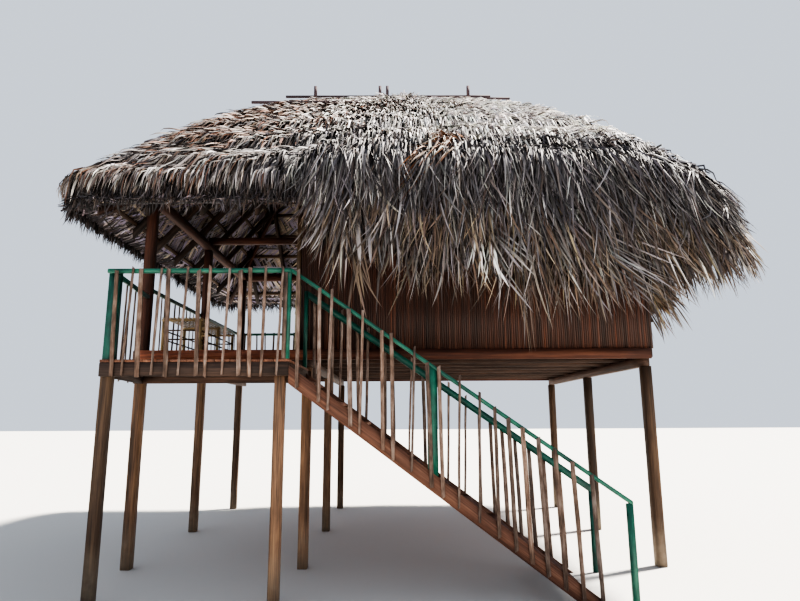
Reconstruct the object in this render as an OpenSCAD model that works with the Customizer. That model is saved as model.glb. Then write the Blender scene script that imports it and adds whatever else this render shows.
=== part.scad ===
// Stilt house: nine posts carry a raised floor with one closed room and an open veranda,
// a landing with a straight stair stands in front, and a hipped palm-leaf roof covers it all.
// +X runs to the right along the front, +Y to the back, +Z up from the ground at z = 0.
// The origin is on the ground under the middle of the whole outline.

/* [House] */
// Width of the open veranda, between its two post rows
veranda_w = 1820; // [1500:10:2300]
// Width of the room, between its two post rows
room_w = 3720; // [3000:10:4800]
// Depth of one bay, between two post rows
bay_d = 2045; // [1700:5:2500]
// Height of the main floor above the ground
floor_h = 2260; // [1900:10:2900]
// Height of the walls, from the floor to the top of the wall plates
wall_h = 1820; // [1600:10:2300]
// Side of the square main posts
post_s = 100; // [80:5:150]

/* [Floor] */
// Width of the beams on the post rows
beam_w = 70; // [50:5:100]
// Depth of the beams on the post rows
beam_d = 100; // [80:5:150]
// Width of a floor joist
joist_w = 45; // [35:5:60]
// Depth of a floor joist
joist_d = 65; // [50:5:100]
// Number of floor joists
joist_n = 8; // [6:1:10]
// Thickness of the floor boards
board_t = 25; // [18:1:35]
// Thickness of the edge beams and rails
edge_t = 40; // [30:1:50]
// Depth of the edge beams
edge_d = 110; // [95:5:140]

/* [Landing] */
// Distance of the landing posts in front of the main posts
landing_d = 1200; // [1000:10:1500]
// Step down from the main floor to the landing
landing_step = 210; // [150:5:230]
// Inset of the left landing post from the left post row
landing_inset = 210; // [100:5:300]
// Inset of the right landing post from the middle post row
landing_side = 60; // [50:5:150]
// Side of the square landing posts
landing_post_s = 90; // [70:5:110]
// Depth of the landing beams
landing_beam_d = 125; // [90:5:150]

/* [Stair] */
// Number of risers between the ground and the landing
riser_n = 11; // [10:1:12]
// Horizontal distance from one tread to the next
going = 254; // [220:2:290]
// Gap between the stair and the beam in front of the house
stair_gap = 120; // [110:5:300]
// Plumb depth of a stringer
stringer_d = 160; // [140:5:190]
// Drop of the stringer edge below the line of the landing floor
stringer_drop = 60; // [40:5:80]
// Depth of a tread, front to back
tread_d = 165; // [140:5:175]
// Thickness of a tread
tread_t = 30; // [24:1:36]
// Depth of the housing that takes a tread end
housing = 12; // [8:1:18]
// Reach of a tread past the upper edge of the stringer
nosing = 10; // [5:1:20]

/* [Rails] */
// Height of the landing rail above the landing floor
landing_rail_h = 830; // [750:10:950]
// Height of the veranda rail above the main floor
veranda_rail_h = 760; // [700:10:900]
// Depth of a top rail
rail_d = 40; // [30:1:60]
// Mean distance between the sticks of a rail
stick_gap = 124; // [90:2:180]
// Mean width of a stick
stick_w = 30; // [20:1:40]
// Thickness of a stick
stick_t = 15; // [10:1:20]
// Height of the newel at the foot of the stair
foot_newel_h = 860; // [700:10:950]
// Distance of the foot newel past the landing
foot_newel_x = 2915; // [2880:5:3300]

/* [Walls] */
// Thickness of the reed wall panels
wall_t = 30; // [20:1:45]
// Gap between the top of a wall panel and the rafters over it
wall_gap = 18; // [5:1:60]
// Distance of the doorway behind the front post row
door_y = 420; // [150:10:700]
// Width of the doorway
door_w = 800; // [650:10:900]
// Height of the doorway
door_h = 1580; // [1400:10:1590]
// Width of the boards round the doorway
casing_w = 60; // [40:5:80]
// Radius of the bamboo pole at the corner of the room
pole_r = 38; // [25:1:45]

/* [Roof frame] */
// Side of the square wall plates
plate_s = 100; // [80:5:120]
// Rise of the roof from the plates to the ridge
rise = 1720; // [1400:10:2100]
// Horizontal run of the end slopes
hip_run = 1490; // [1200:10:1800]
// Plumb depth of a rafter
rafter_v = 120; // [90:5:140]
// Width of a rafter
rafter_w = 50; // [40:5:70]
// Number of rafters on a long slope
rafter_n = 10; // [6:2:14]
// Number of rafters on an end slope
end_rafter_n = 6; // [4:2:8]
// Plumb depth of a purlin
purlin_v = 45; // [35:1:60]
// Width of a purlin
purlin_w = 50; // [30:5:70]
// Number of purlins on a slope
purlin_n = 8; // [5:1:12]
// Height of the tie beam
tie_h = 85; // [60:5:95]

/* [Thatch] */
// Plumb thickness of the thatch at its edge and top
thatch_t = 500; // [300:10:600]
// Extra plumb thickness in the middle of a slope
thatch_crown = 150; // [0:5:200]
// Extra height of the thatch edge along the room
thatch_shoulder = 215; // [0:5:260]
// Number of courses of leaves on a slope
course_n = 7; // [4:1:9]
// Height of the step between two courses
course_step = 45; // [20:5:70]
// Flare of the hanging leaves in front and at the back
fringe_flare = 190; // [120:10:300]
// Flare of the hanging leaves at the right end
end_flare = 420; // [200:10:500]
// Height of the hanging leaf ends over the ground, in front
fringe_z = 2720; // [2500:10:3200]
// Height of the hanging leaf ends over the ground, at the right end
end_fringe_z = 3160; // [3000:10:3300]
// Reach of the leaves that lean on the right wall
side_leaf_reach = 500; // [300:10:650]
// Height of the ends of those leaves over the ground
side_leaf_z = 2430; // [2300:10:2700]
// Radius of the ridge poles
ridge_pole_r = 21; // [15:1:30]

/* [Bench] */
// Height of the bench over the veranda floor
bench_h = 450; // [350:10:550]
// Depth of the bench seat
bench_d = 480; // [350:10:600]
// Length of the bench
bench_l = 1450; // [900:10:1700]
// Radius of a bench leg
bench_leg_r = 22; // [15:1:28]
// Width of a slat of the seat
slat_w = 36; // [25:1:60]
// Thickness of a slat of the seat
slat_t = 12; // [8:1:20]
// Number of slats of the seat
slat_n = 11; // [6:1:12]

/* [Hidden] */

seat = 0.3;
tall = 9000;
timber = "#7a4a35";
green = "#1f7a5c";
thatch_color = "#a8967c";

// The thatch is laid out by q: 0 over the plates, 1 over the ridge, negative outside the plates.
eave_q = 0.46;
soffit_q = 0.27;
tail_q = 0.25;
top_q = 0.93;
eave_round = 0.24;
top_round = 0.04;
arc_n = 5;

house_w = veranda_w + room_w;
house_d = 2 * bay_d;
reach_l = eave_q * hip_run;
reach_r = reach_l + end_flare;
reach_f = landing_d + landing_post_s / 2 + edge_t + stick_t;
reach_b = eave_q * bay_d + fringe_flare;
x_l = (reach_l - house_w - reach_r) / 2;
x_m = x_l + veranda_w;
x_r = x_m + room_w;
x_c = (x_l + x_r) / 2;
y_f = (reach_f - house_d - reach_b) / 2;
y_c = y_f + bay_d;
y_b = y_f + house_d;
half = post_s / 2;
out_l = x_l - half;
out_r = x_r + half;
out_f = y_f - half;
out_b = y_b + half;

plate_top = floor_h + wall_h;
plate_z = plate_top - plate_s;
board_z = floor_h - board_t;
joist_z = board_z - joist_d;
beam_z = joist_z - beam_d;

landing_top = floor_h - landing_step;
landing_board_z = landing_top - board_t;
landing_beam_z = landing_board_z - landing_beam_d;
lhalf = landing_post_s / 2;
lx_l = x_l + landing_inset;
lx_r = x_m - landing_side;
ly = y_f - landing_d;
lout_f = ly - lhalf - edge_t;
lout_r = lx_r + lhalf + edge_t;
ledger_y = out_f - edge_t;
lrail_top = landing_top + landing_rail_h;
vrail_top = floor_h + veranda_rail_h;

mitre_len = sqrt(hip_run * hip_run + bay_d * bay_d);
pitch_f = rise / bay_d;
pitch_e = rise / hip_run;
wall_top = plate_top - max(pitch_f, pitch_e) * (half + wall_t) - wall_gap;

riser = landing_top / riser_n;
fall = riser / going;
stair_x = lout_r;
string_top = landing_top - stringer_drop;
stair_w = ledger_y - stair_gap - lout_f;
stair_y = lout_f + stair_w;

function lerp(a, b, t) = a + (b - a) * t;
// A repeatable value from -1 to 1 that differs from stick to stick
function jitter(i, k) = sin(i * 137.5 + k * 61.3 + i * i * 7.1);
function roof_z(q) = plate_top + q * rise;
function thatch_in(q) = roof_z(q) + rafter_v + seat + purlin_v;
function thatch_out(q) =
    thatch_in(q) + thatch_t + thatch_crown * sin(180 * (q + eave_q) / (top_q + eave_q));

module at_back() {
    translate([0, 2 * y_c, 0]) mirror([0, 1, 0]) children();
}

module at_right() {
    translate([2 * x_c, 0, 0]) mirror([1, 0, 0]) children();
}

module box(x0, x1, y0, y1, z0, z1) {
    translate([x0, y0, z0]) cube([x1 - x0, y1 - y0, z1 - z0]);
}

// Posts

module post(x, y, s, z0, z1) {
    box(x - s / 2, x + s / 2, y - s / 2, y + s / 2, z0, z1);
}

// The left post reaches the plates, the others stop under the floor beams.
module row_posts(y) {
    color(timber) {
        post(x_l, y, post_s, 0, plate_z);
        post(x_m, y, post_s, 0, beam_z);
        post(x_r, y, post_s, 0, beam_z);
    }
}

module front_row_posts() {
    row_posts(y_f);
}

module middle_row_posts() {
    row_posts(y_c);
}

module back_row_posts() {
    row_posts(y_b);
}

module landing_posts() {
    color(timber) {
        post(lx_l, ly, landing_post_s, 0, lrail_top);
        post(lx_r, ly, landing_post_s, 0, landing_board_z);
    }
}

// Floor

module side_floor_beams() {
    color(timber) {
        box(x_l + half, x_l + half + beam_w, out_f, out_b, beam_z, joist_z);
        for (x = [x_m, x_r]) {
            box(x - beam_w / 2, x + beam_w / 2, out_f, out_b, beam_z, joist_z);
        }
    }
}

module floor_joists() {
    first = post_s + joist_w;
    color(timber)
        for (i = [0 : joist_n - 1]) {
            y = lerp(y_f + first, y_b - first, i / (joist_n - 1));
            box(out_l, out_r, y - joist_w / 2, y + joist_w / 2, joist_z, board_z);
        }
}

module front_floor_beam() {
    color("#9a5c40") box(out_l, out_r, ledger_y, out_f, floor_h - edge_d, floor_h);
}

module back_floor_beam() {
    at_back() front_floor_beam();
}

module left_floor_beam() {
    color(timber) box(out_l - edge_t, out_l, out_f, out_b, floor_h - edge_d, floor_h);
}

module veranda_floor() {
    color("#9c7450")
        difference() {
            box(out_l, x_m - half, out_f, out_b, board_z, floor_h);
            for (y = [y_f, y_c, y_b]) {
                post(x_l, y, post_s, 0, plate_z);
            }
        }
}

module room_floor() {
    color("#8a6a4c") box(x_m - half, out_r, out_f, out_b, board_z, floor_h);
}

// Landing

module landing_beams() {
    z0 = landing_beam_z;
    z1 = landing_board_z;
    color(timber) {
        box(lx_l - lhalf, lout_r, lout_f, ly - lhalf, z0, z1);
        box(lout_r - edge_t, lout_r, ly - lhalf + seat, ledger_y - seat, z0, z1);
        box(out_l, x_m + half, ledger_y, out_f, z0, z1);
        left_edge(z0, z1, ledger_y - seat, seat);
    }
}

// The left edge of the landing slants from its own post to the main post.
edge_y = ly + lhalf;
edge_near = lx_l - lhalf;
edge_far = x_l + half - edge_t;

module left_edge(z0, z1, y1, inset) {
    near = edge_near + inset;
    far = lerp(edge_near, edge_far, (y1 - edge_y) / (out_f - edge_y)) + inset;
    translate([0, 0, z0])
        linear_extrude(z1 - z0)
            polygon([[near, edge_y], [near + edge_t, edge_y], [far + edge_t, y1], [far, y1]]);
}

module landing_floor() {
    color("#9c7450")
        difference() {
            translate([0, 0, landing_board_z])
                linear_extrude(board_t)
                    polygon([[edge_near, lout_f], [lout_r, lout_f], [lout_r, out_f],
                        [edge_far + seat, out_f], [edge_near + seat, edge_y]]);
            post(lx_l, ly, landing_post_s, 0, tall);
        }
}

// Walls

module front_wall() {
    color("#5a3430")
        box(x_m - half - wall_t, out_r + wall_t, out_f - wall_t, out_f, floor_h, wall_top);
}

module back_wall() {
    at_back() front_wall();
}

module right_wall() {
    color("#5a3430") box(out_r, out_r + wall_t, out_f, out_b, joist_z, wall_top);
}

// The wall between the veranda and the room, split beside and over the doorway
module veranda_wall() {
    x = x_m - half;
    y0 = y_f + door_y;
    y1 = y0 + door_w;
    head = floor_h + door_h;
    color("#5a3430") {
        box(x - wall_t, x, out_f, y0, floor_h, wall_top);
        box(x - wall_t, x, y1, out_b, floor_h, wall_top);
        box(x - wall_t, x, y0 + seat, y1 - seat, head, wall_top);
    }
}

module wall_posts() {
    x_half = (x_m + x_r) / 2;
    color(timber) {
        for (y = [y_f, y_b], x = [x_m, x_half, x_r]) {
            post(x, y, post_s, floor_h, plate_z);
        }
        for (x = [x_m, x_r]) {
            post(x, y_c, post_s, floor_h, plate_z);
        }
    }
}

module door_frame() {
    x0 = x_m - half;
    y0 = y_f + door_y;
    y1 = y0 + door_w;
    head = floor_h + door_h;
    color(timber)
        difference() {
            box(x0, x0 + casing_w, y0 - casing_w, y1 + casing_w, floor_h, head + casing_w);
            box(x0 - 1, x0 + casing_w + 1, y0, y1, floor_h - 1, head);
        }
}

module corner_pole() {
    x = x_m - half - wall_t - pole_r - seat;
    color("#c9b795")
        translate([x, y_f, floor_h]) cylinder(r = pole_r, h = plate_z - floor_h, $fn = 48);
}

// Roof frame

module wall_plates() {
    p = plate_s / 2;
    color(timber) {
        for (y = [y_f, y_b]) {
            box(x_l - p, x_r + p, y - p, y + p, plate_z, plate_top);
        }
        for (x = [x_l, x_m, x_r]) {
            box(x - p, x + p, y_f + p + seat, y_b - p - seat, plate_z, plate_top);
        }
    }
}

module tie_beam() {
    color("#a0603f") box(x_l, x_r, y_c - plate_s / 2, y_c + plate_s / 2, plate_top, plate_top + tie_h);
}

module ridge_beam() {
    top = roof_z(1) + rafter_v - rafter_w / 2 * pitch_f - 5;
    color(timber)
        box(x_l + hip_run, x_r - hip_run, y_c - rafter_w / 2, y_c + rafter_w / 2,
            roof_z(1) - rafter_v, top);
}

// The plan of one slope between two values of q, set in from the hips
module front_plan(q0, q1, inset) {
    dx = inset * mitre_len / bay_d;
    linear_extrude(tall)
        polygon([for (c = [[-1, q0], [1, q0], [1, q1], [-1, q1]])
            [x_c + c[0] * (house_w / 2 - c[1] * hip_run - dx), y_f + c[1] * bay_d]]);
}

module left_plan(q0, q1, inset) {
    dy = inset * mitre_len / hip_run;
    q2 = min(q1, 1 - dy / bay_d);
    linear_extrude(tall)
        polygon([for (c = [[-1, q0], [-1, q2], [1, q2], [1, q0]])
            [x_l + c[1] * hip_run, y_c + c[0] * (bay_d - c[1] * bay_d - dy)]]);
}

// Side view of a rafter: h is the run measured from the middle of the plate
function rafter_side(pitch, h0, h1) =
    let (p = plate_s / 2)
    [[h0, plate_top + h0 * pitch], [-p, plate_top - p * pitch], [-p, plate_top], [0, plate_top],
        [h1, plate_top + h1 * pitch], [h1, plate_top + h1 * pitch + rafter_v],
        [h0, plate_top + h0 * pitch + rafter_v]];

// Side view of a purlin lying on the rafters at q
function purlin_side(pitch, run, q) =
    let (a = atan(pitch), w = purlin_w / 2, d = purlin_v * cos(a), h = q * run,
        z = roof_z(q) + rafter_v + seat)
    [for (c = [[-w, 0], [w, 0], [w, d], [-w, d]])
        [h + c[0] * cos(a) - c[1] * sin(a), z + c[0] * sin(a) + c[1] * cos(a)]];

module front_rafters() {
    end = 1.5 * plate_s;
    intersection() {
        for (i = [0 : rafter_n - 1]) {
            x = lerp(x_l + end, x_r - end, i / (rafter_n - 1));
            translate([x - rafter_w / 2, y_f, 0])
                rotate([90, 0, 90])
                    linear_extrude(rafter_w)
                        polygon(rafter_side(pitch_f, -tail_q * bay_d, bay_d - rafter_w / 2));
        }
        front_plan(-1, 1, rafter_w / 2 + seat);
    }
}

module long_rafters() {
    color(timber) {
        front_rafters();
        at_back() front_rafters();
    }
}

module left_rafters() {
    end = 3.5 * plate_s;
    intersection() {
        for (i = [0 : end_rafter_n - 1]) {
            y = lerp(y_f + end, y_b - end, i / (end_rafter_n - 1));
            translate([x_l, y + rafter_w / 2, 0])
                rotate([90, 0, 0])
                    linear_extrude(rafter_w)
                        polygon(rafter_side(pitch_e, -tail_q * hip_run, hip_run));
        }
        left_plan(-1, 1, rafter_w / 2 + seat);
    }
}

module end_rafters() {
    color(timber) {
        left_rafters();
        at_right() left_rafters();
    }
}

// One hip rafter, from the corner of the plates to the end of the ridge
module hip_rafter() {
    backing = rafter_w / 2 * bay_d / mitre_len * pitch_e;
    bottom = function (s) roof_z(s / mitre_len);
    depth = rafter_v - backing;
    s0 = -tail_q * mitre_len;
    difference() {
        intersection() {
            translate([x_l, y_f, 0])
                rotate([0, 0, atan2(bay_d, hip_run)])
                    rotate([90, 0, 0])
                        translate([0, 0, -rafter_w / 2])
                            linear_extrude(rafter_w)
                                polygon([[s0, bottom(s0)], [mitre_len, bottom(mitre_len)],
                                    [mitre_len, bottom(mitre_len) + depth], [s0, bottom(s0) + depth]]);
            box(x_l - tall, x_l + hip_run - seat, y_f - tall, y_c - seat, 0, tall);
        }
        box(x_l - plate_s / 2, x_c, y_f - plate_s / 2, y_c, 0, plate_top);
    }
}

module hip_rafters() {
    color(timber) {
        hip_rafter();
        at_right() hip_rafter();
        at_back() hip_rafter();
        at_back() at_right() hip_rafter();
    }
}

function purlin_q(i) = lerp(-tail_q + 0.03, top_q - 0.03, i / (purlin_n - 1));

module front_purlins() {
    intersection() {
        for (i = [0 : purlin_n - 1]) {
            translate([x_l - hip_run, y_f, 0])
                rotate([90, 0, 90])
                    linear_extrude(house_w + 2 * hip_run)
                        polygon(purlin_side(pitch_f, bay_d, purlin_q(i)));
        }
        front_plan(-1, 1, 2);
    }
}

module long_purlins() {
    color("#b08a58") {
        front_purlins();
        at_back() front_purlins();
    }
}

module left_purlins() {
    intersection() {
        for (i = [0 : purlin_n - 1]) {
            translate([x_l, y_b + bay_d, 0])
                rotate([90, 0, 0])
                    linear_extrude(house_d + 2 * bay_d)
                        polygon(purlin_side(pitch_e, hip_run, purlin_q(i)));
        }
        left_plan(-1, 1, 2);
    }
}

module end_purlins() {
    color("#b08a58") {
        left_purlins();
        at_right() left_purlins();
    }
}

// Thatch. A ring is [reach in x, reach in y, corner radius in x, in y, height at the end, at the front].
// It goes round the plates like an oval, and each side takes the part between two hips.

function ring(q, z, round) =
    [-q * hip_run, -q * bay_d, round * hip_run, round * bay_d, z, z];

// Angle on the corner of a ring where it crosses the upright plane of the hip
function mitre_angle(r) =
    let (a = r[2] / hip_run, b = r[3] / bay_d, c = (r[1] - r[3]) / bay_d - (r[0] - r[2]) / hip_run)
    acos(c / sqrt(a * a + b * b)) - atan2(b, a);

// Corners as [x, y, outward x, outward y]
corner_fl = [x_l, y_f, -1, -1];
corner_fr = [x_r, y_f, 1, -1];
corner_bl = [x_l, y_b, -1, 1];
corner_br = [x_r, y_b, 1, 1];

function ring_point(c, r, a) =
    [c[0] + c[2] * (r[0] - r[2] + r[2] * cos(a)), c[1] + c[3] * (r[1] - r[3] + r[3] * sin(a)),
        lerp(r[4], r[5], pow(sin(a), 2))];

// A point on a square corner, t from 0 at the hip to 1 where the side runs straight
function square_point(c, q, z, flat, round, t) =
    let (along = t * round)
    [c[0] - c[2] * (q + (flat == 90 ? along : 0)) * hip_run,
        c[1] - c[3] * (q + (flat == 0 ? along : 0)) * bay_d, z];

function course_q(i) = lerp(-eave_q, top_q, i / course_n);
function course_round(q) = lerp(eave_round, top_round, (q + eave_q) / (top_q + eave_q));

soffit_z = thatch_in(-soffit_q) - 60;
thatch_rings = concat(
    [ring(-eave_q, soffit_z, eave_round), ring(-eave_q, thatch_out(-eave_q), eave_round)],
    [for (i = [1 : course_n - 1], up = [0, course_step])
        let (q = course_q(i)) ring(q, thatch_out(q) + up, course_round(q))]);

// The edge is thicker along the room. The extra height fades out up the slope.
shoulder_q = 0.36;
function shoulder(q) = thatch_shoulder * pow(max(0, (shoulder_q - eave_q - q) / shoulder_q), 1.3);
thatch_raise = concat([0, shoulder(-eave_q)],
    [for (i = [1 : course_n - 1], up = [0, 1]) shoulder(course_q(i))]);

// One cross section of a slope of thatch, at t on corner c, with a share of the shoulder
function thatch_section(c, flat, t, share) = concat(
    [square_point(c, top_q, thatch_in(top_q), flat, top_round, t),
        square_point(c, -soffit_q, thatch_in(-soffit_q), flat, eave_round, t)],
    [for (i = [0 : len(thatch_rings) - 1])
        let (r = thatch_rings[i])
        ring_point(c, r, lerp(mitre_angle(r), flat, t)) + [0, 0, share * thatch_raise[i]]],
    [square_point(c, top_q, thatch_out(top_q), flat, top_round, t)]);

// Closed solid through a row of cross sections with equal numbers of points
module loft(sections, flip) {
    n = len(sections);
    m = len(sections[0]);
    points = [for (s = sections) each s];
    side = [for (i = [0 : n - 2], j = [0 : m - 1])
        let (a = i * m + j, b = i * m + (j + 1) % m, c = b + m, d = a + m) each [[a, b, c], [a, c, d]]];
    start = [[for (j = [0 : m - 1]) m - 1 - j]];
    end = [[for (j = [0 : m - 1]) (n - 1) * m + j]];
    faces = concat(start, side, end);
    polyhedron(points, flip ? [for (f = faces) [for (k = [len(f) - 1 : -1 : 0]) f[k]]] : faces);
}

function thatch_straight(c, x, share) = [for (p = thatch_section(c, 90, 1, share)) [x, p[1], p[2]]];

// The hanging leaves start at the room's corner and have their full length from room_x on. The
// shoulder ends at shoulder_end, a share of the way from there to the rounded corner.
skirt_x = x_m - half - wall_t;
room_x = x_m + 0.12 * room_w;
shoulder_end = 0.85;

function long_sections(c0, c1) =
    let (first = thatch_straight(c0, room_x, 1), last = thatch_section(c1, 90, 1, 1))
    concat(
        [for (i = [0 : arc_n]) thatch_section(c0, 90, i / arc_n, 0)],
        [thatch_straight(c0, skirt_x, 0), first, lerp(first, last, shoulder_end)],
        [for (i = [arc_n : -1 : 0]) thatch_section(c1, 90, i / arc_n, 0)]);

function end_sections(c0, c1) = concat(
    [for (i = [0 : arc_n]) thatch_section(c0, 0, i / arc_n, 0)],
    [for (i = [arc_n : -1 : 0]) thatch_section(c1, 0, i / arc_n, 0)]);

module thatch_front() {
    color(thatch_color)
        translate([0, -seat, 0]) loft(long_sections(corner_fl, corner_fr), false);
}

module thatch_back() {
    color(thatch_color)
        translate([0, seat, 0]) loft(long_sections(corner_bl, corner_br), true);
}

module thatch_left() {
    color(thatch_color)
        translate([-seat, 0, 0]) loft(end_sections(corner_fl, corner_bl), true);
}

module thatch_right() {
    color(thatch_color)
        translate([seat, 0, 0]) loft(end_sections(corner_fr, corner_br), false);
}

// The saddle of leaves over the ridge
ridge_half = (1 - top_q) * bay_d;
ridge_top = thatch_out(top_q) + 120;

module thatch_ridge() {
    side_z = thatch_out(top_q) + course_step;
    low = thatch_in(top_q) + 1;
    peak = thatch_in(1) + 1;
    flat = 0.55 * ridge_half;
    color("#8d7b66")
        translate([x_l + top_q * hip_run, y_c, 0])
            rotate([90, 0, 90])
                linear_extrude(house_w - 2 * top_q * hip_run)
                    polygon([[-ridge_half, low], [0, peak], [ridge_half, low], [ridge_half, side_z],
                        [flat, ridge_top], [-flat, ridge_top], [-ridge_half, side_z]]);
}

// Leaves that hang from the edge of the thatch round the room. The ring keeps its corner centre
// while it flares out by fx at the end and fy in front.
function fringe_ring(fx, fy, zx, zy) =
    let (r = ring(-eave_q, 0, eave_round))
    [r[0] + fx + seat, r[1] + fy + seat, r[2] + fx + seat, r[3] + fy + seat, zx, zy];

edge_z = thatch_out(-eave_q);
fringe_rings = [
    fringe_ring(0, 0, edge_z, edge_z),
    fringe_ring(0, 0, soffit_z, soffit_z),
    fringe_ring(0.7 * end_flare, 0.5 * fringe_flare, end_fringe_z + 60, fringe_z + 40),
    fringe_ring(end_flare, fringe_flare, end_fringe_z, fringe_z),
    fringe_ring(0.74 * end_flare, 0.95 * fringe_flare, end_fringe_z + 220, fringe_z + 560),
    fringe_ring(0.22 * end_flare, 0.5 * fringe_flare, edge_z - 150, edge_z - 100)];

// The first and the last ring follow the shoulder of the thatch, by its share at each section.
function fringe_raise(i, share) = i == 0 || i == 5 ? share * thatch_shoulder : 0;

function fringe_arc(c, flat) =
    [for (i = [0 : arc_n])
        [for (r = fringe_rings) ring_point(c, r, lerp(flat, mitre_angle(r), i / arc_n))]];

// The straight stretch, with shorter leaves at its end by the veranda
function fringe_straight(c, x, lift, share) =
    [for (i = [0 : len(fringe_rings) - 1])
        let (p = ring_point(c, fringe_rings[i], 90))
        [x, p[1], p[2] + (i > 1 && i < 5 ? lift : fringe_raise(i, share))]];

function fringe_side(c) =
    let (arc = fringe_arc(c, 90))
    concat(
        [fringe_straight(c, skirt_x, 480, 0), fringe_straight(c, room_x, 0, 1),
            fringe_straight(c, lerp(room_x, arc[0][0][0], shoulder_end), 0, 1)],
        arc);

module fringe_front() {
    color("#b5a58a") translate([0, -seat, 0]) loft(fringe_side(corner_fr), true);
}

module fringe_back() {
    color("#b5a58a") translate([0, seat, 0]) loft(fringe_side(corner_br), false);
}

module fringe_right() {
    front = fringe_arc(corner_fr, 0);
    back = fringe_arc(corner_br, 0);
    color("#b5a58a")
        translate([seat, 0, 0])
            loft(concat([for (i = [arc_n : -1 : 0]) front[i]], back), true);
}

// A lower layer of leaves leans on the right wall, with its ends spread outwards.
module side_leaves() {
    wall = out_r + wall_t + seat;
    tip = wall + side_leaf_reach;
    spread = end_fringe_z - side_leaf_z;
    color("#a08a62")
        translate([0, out_b, 0])
            rotate([90, 0, 0])
                linear_extrude(out_b - out_f)
                    polygon([[wall, side_leaf_z + 1.25 * spread], [wall + 0.3 * side_leaf_reach,
                        side_leaf_z + 0.95 * spread], [tip, side_leaf_z + 0.3 * edge_t],
                        [tip - 0.15 * side_leaf_reach, side_leaf_z - 0.3 * edge_t],
                        [wall, side_leaf_z + 0.1 * spread]]);
}

// Two poles lie along the ridge, one lower on the front slope, and stakes hold the upper ones.
module pole(x0, x1, y, z) {
    translate([x0, y, z]) rotate([0, 90, 0]) cylinder(r = ridge_pole_r, h = x1 - x0, $fn = 32);
}

module ridge_poles() {
    r = ridge_pole_r;
    ridge_half_w = house_w / 2 - hip_run;
    stake = 45;
    // The low pole lies on the front slope, on the second course from the top.
    q0 = course_q(course_n - 2);
    q1 = course_q(course_n - 1);
    z0 = thatch_out(q0) + course_step;
    z1 = thatch_out(q1);
    q = lerp(q0, q1, 0.5);
    z = lerp(z0, z1, 0.5) + (r + 2 * seat) / cos(atan((z1 - z0) / ((q1 - q0) * bay_d)));
    color("#4a3540") {
        pole(x_c - ridge_half_w - 420, x_c + ridge_half_w + 240, y_c, ridge_top + r + seat);
        pole(x_c + 0.62 * ridge_half_w, x_c + ridge_half_w + 560, y_c + 3 * r, ridge_top + r + seat);
        pole(x_c - ridge_half_w - 760, x_c - 0.4 * ridge_half_w, y_f + q * bay_d, z);
        for (x = [-0.96, -0.17, -0.08, 0.91]) {
            post(x_c + x * ridge_half_w, y_c - r - stake / 2 - seat, stake, ridge_top, ridge_top + 170);
        }
    }
}

// Rails

// Sticks along x from 0 to run, nailed on the side that faces -y. The foot and the head of each
// follow lines that start at z0 and z1 and fall by fall_lo and fall_hi for each unit of run.
module sticks(run, gap, z0, z1, fall_lo, fall_hi, key) {
    n = max(2, round(run / gap));
    for (i = [0 : n - 1]) {
        x = (i + 0.5 + 0.22 * jitter(i, key)) * run / n;
        w = stick_w * (1 + 0.3 * jitter(i, key + 1));
        foot = max(stick_w, z0 - fall_lo * x - 12 * (1 + jitter(i, key + 2)));
        head = z1 - fall_hi * x + 22 * jitter(i, key + 3);
        lean = 2 * jitter(i, key + 4);
        translate([x, 0, foot])
            rotate([0, lean, 0])
                translate([-w / 2, -stick_t, 0]) cube([w, stick_t, head - foot]);
    }
}

module landing_rail_front() {
    x0 = lx_l - lhalf;
    color(green) {
        box(x0, lout_r, lout_f, ly - lhalf, lrail_top - rail_d, lrail_top);
        box(lout_r - edge_t, lout_r, lout_f, ly - lhalf, landing_top, lrail_top - rail_d);
        translate([x0 + stick_w, lout_f, 0])
            sticks(lout_r - x0 - 2 * stick_w, stick_gap, landing_beam_z + 12, lrail_top, 0, 0, 1);
    }
}

module along_edge() {
    translate([edge_far, out_f, 0]) rotate([0, 0, atan2(edge_y - out_f, edge_near - edge_far)]) children();
}

module landing_rail_left() {
    run = norm([edge_far - edge_near, out_f - edge_y]);
    z = lrail_top - rail_d;
    color(green) {
        intersection() {
            along_edge() box(-edge_t, run + edge_t, 0, edge_t * (out_f - edge_y) / run, z, lrail_top);
            box(out_l - edge_t, x_m, edge_y, out_f, 0, tall);
        }
        along_edge()
            translate([stick_w, 0, 0])
                sticks(run - 3 * stick_w, 1.2 * stick_gap, landing_beam_z + 12, lrail_top, 0, 0, 7);
    }
}

module veranda_rail_left() {
    color(green) {
        box(out_l - edge_t, out_l, out_f, out_b, vrail_top - rail_d, vrail_top);
        translate([out_l - edge_t, out_b - stick_w, 0])
            rotate([0, 0, -90])
                sticks(out_b - out_f - 2 * stick_w, 1.2 * stick_gap, floor_h - edge_d + 12, vrail_top, 0, 0, 3);
    }
}

module veranda_rail_back() {
    x1 = x_m - half - wall_t;
    color(green) {
        box(out_l - edge_t, x1, out_b, out_b + edge_t, vrail_top - rail_d, vrail_top);
        translate([x1 - stick_w, out_b + edge_t, 0])
            rotate([0, 0, 180])
                sticks(x1 - out_l - 2 * stick_w, stick_gap, floor_h - edge_d + 12, vrail_top, 0, 0, 5);
    }
}

// Bench on the veranda, along the left rail behind the front post

bench_x = out_l + post_s / 2 + seat;
bench_y = y_f + half + 400;
bearer_d = 1.6 * bench_leg_r;

module bench_frame() {
    r = bench_leg_r;
    seat_z = floor_h + bench_h - slat_t;
    color("#c2a05e") {
        for (y = [bench_y + r, bench_y + bench_l / 2, bench_y + bench_l - r]) {
            for (x = [bench_x + r, bench_x + bench_d - r]) {
                translate([x, y, floor_h]) cylinder(r = r, h = seat_z - bearer_d - floor_h, $fn = 32);
            }
            box(bench_x, bench_x + bench_d, y - 0.8 * r, y + 0.8 * r, seat_z - bearer_d, seat_z);
        }
    }
}

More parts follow.
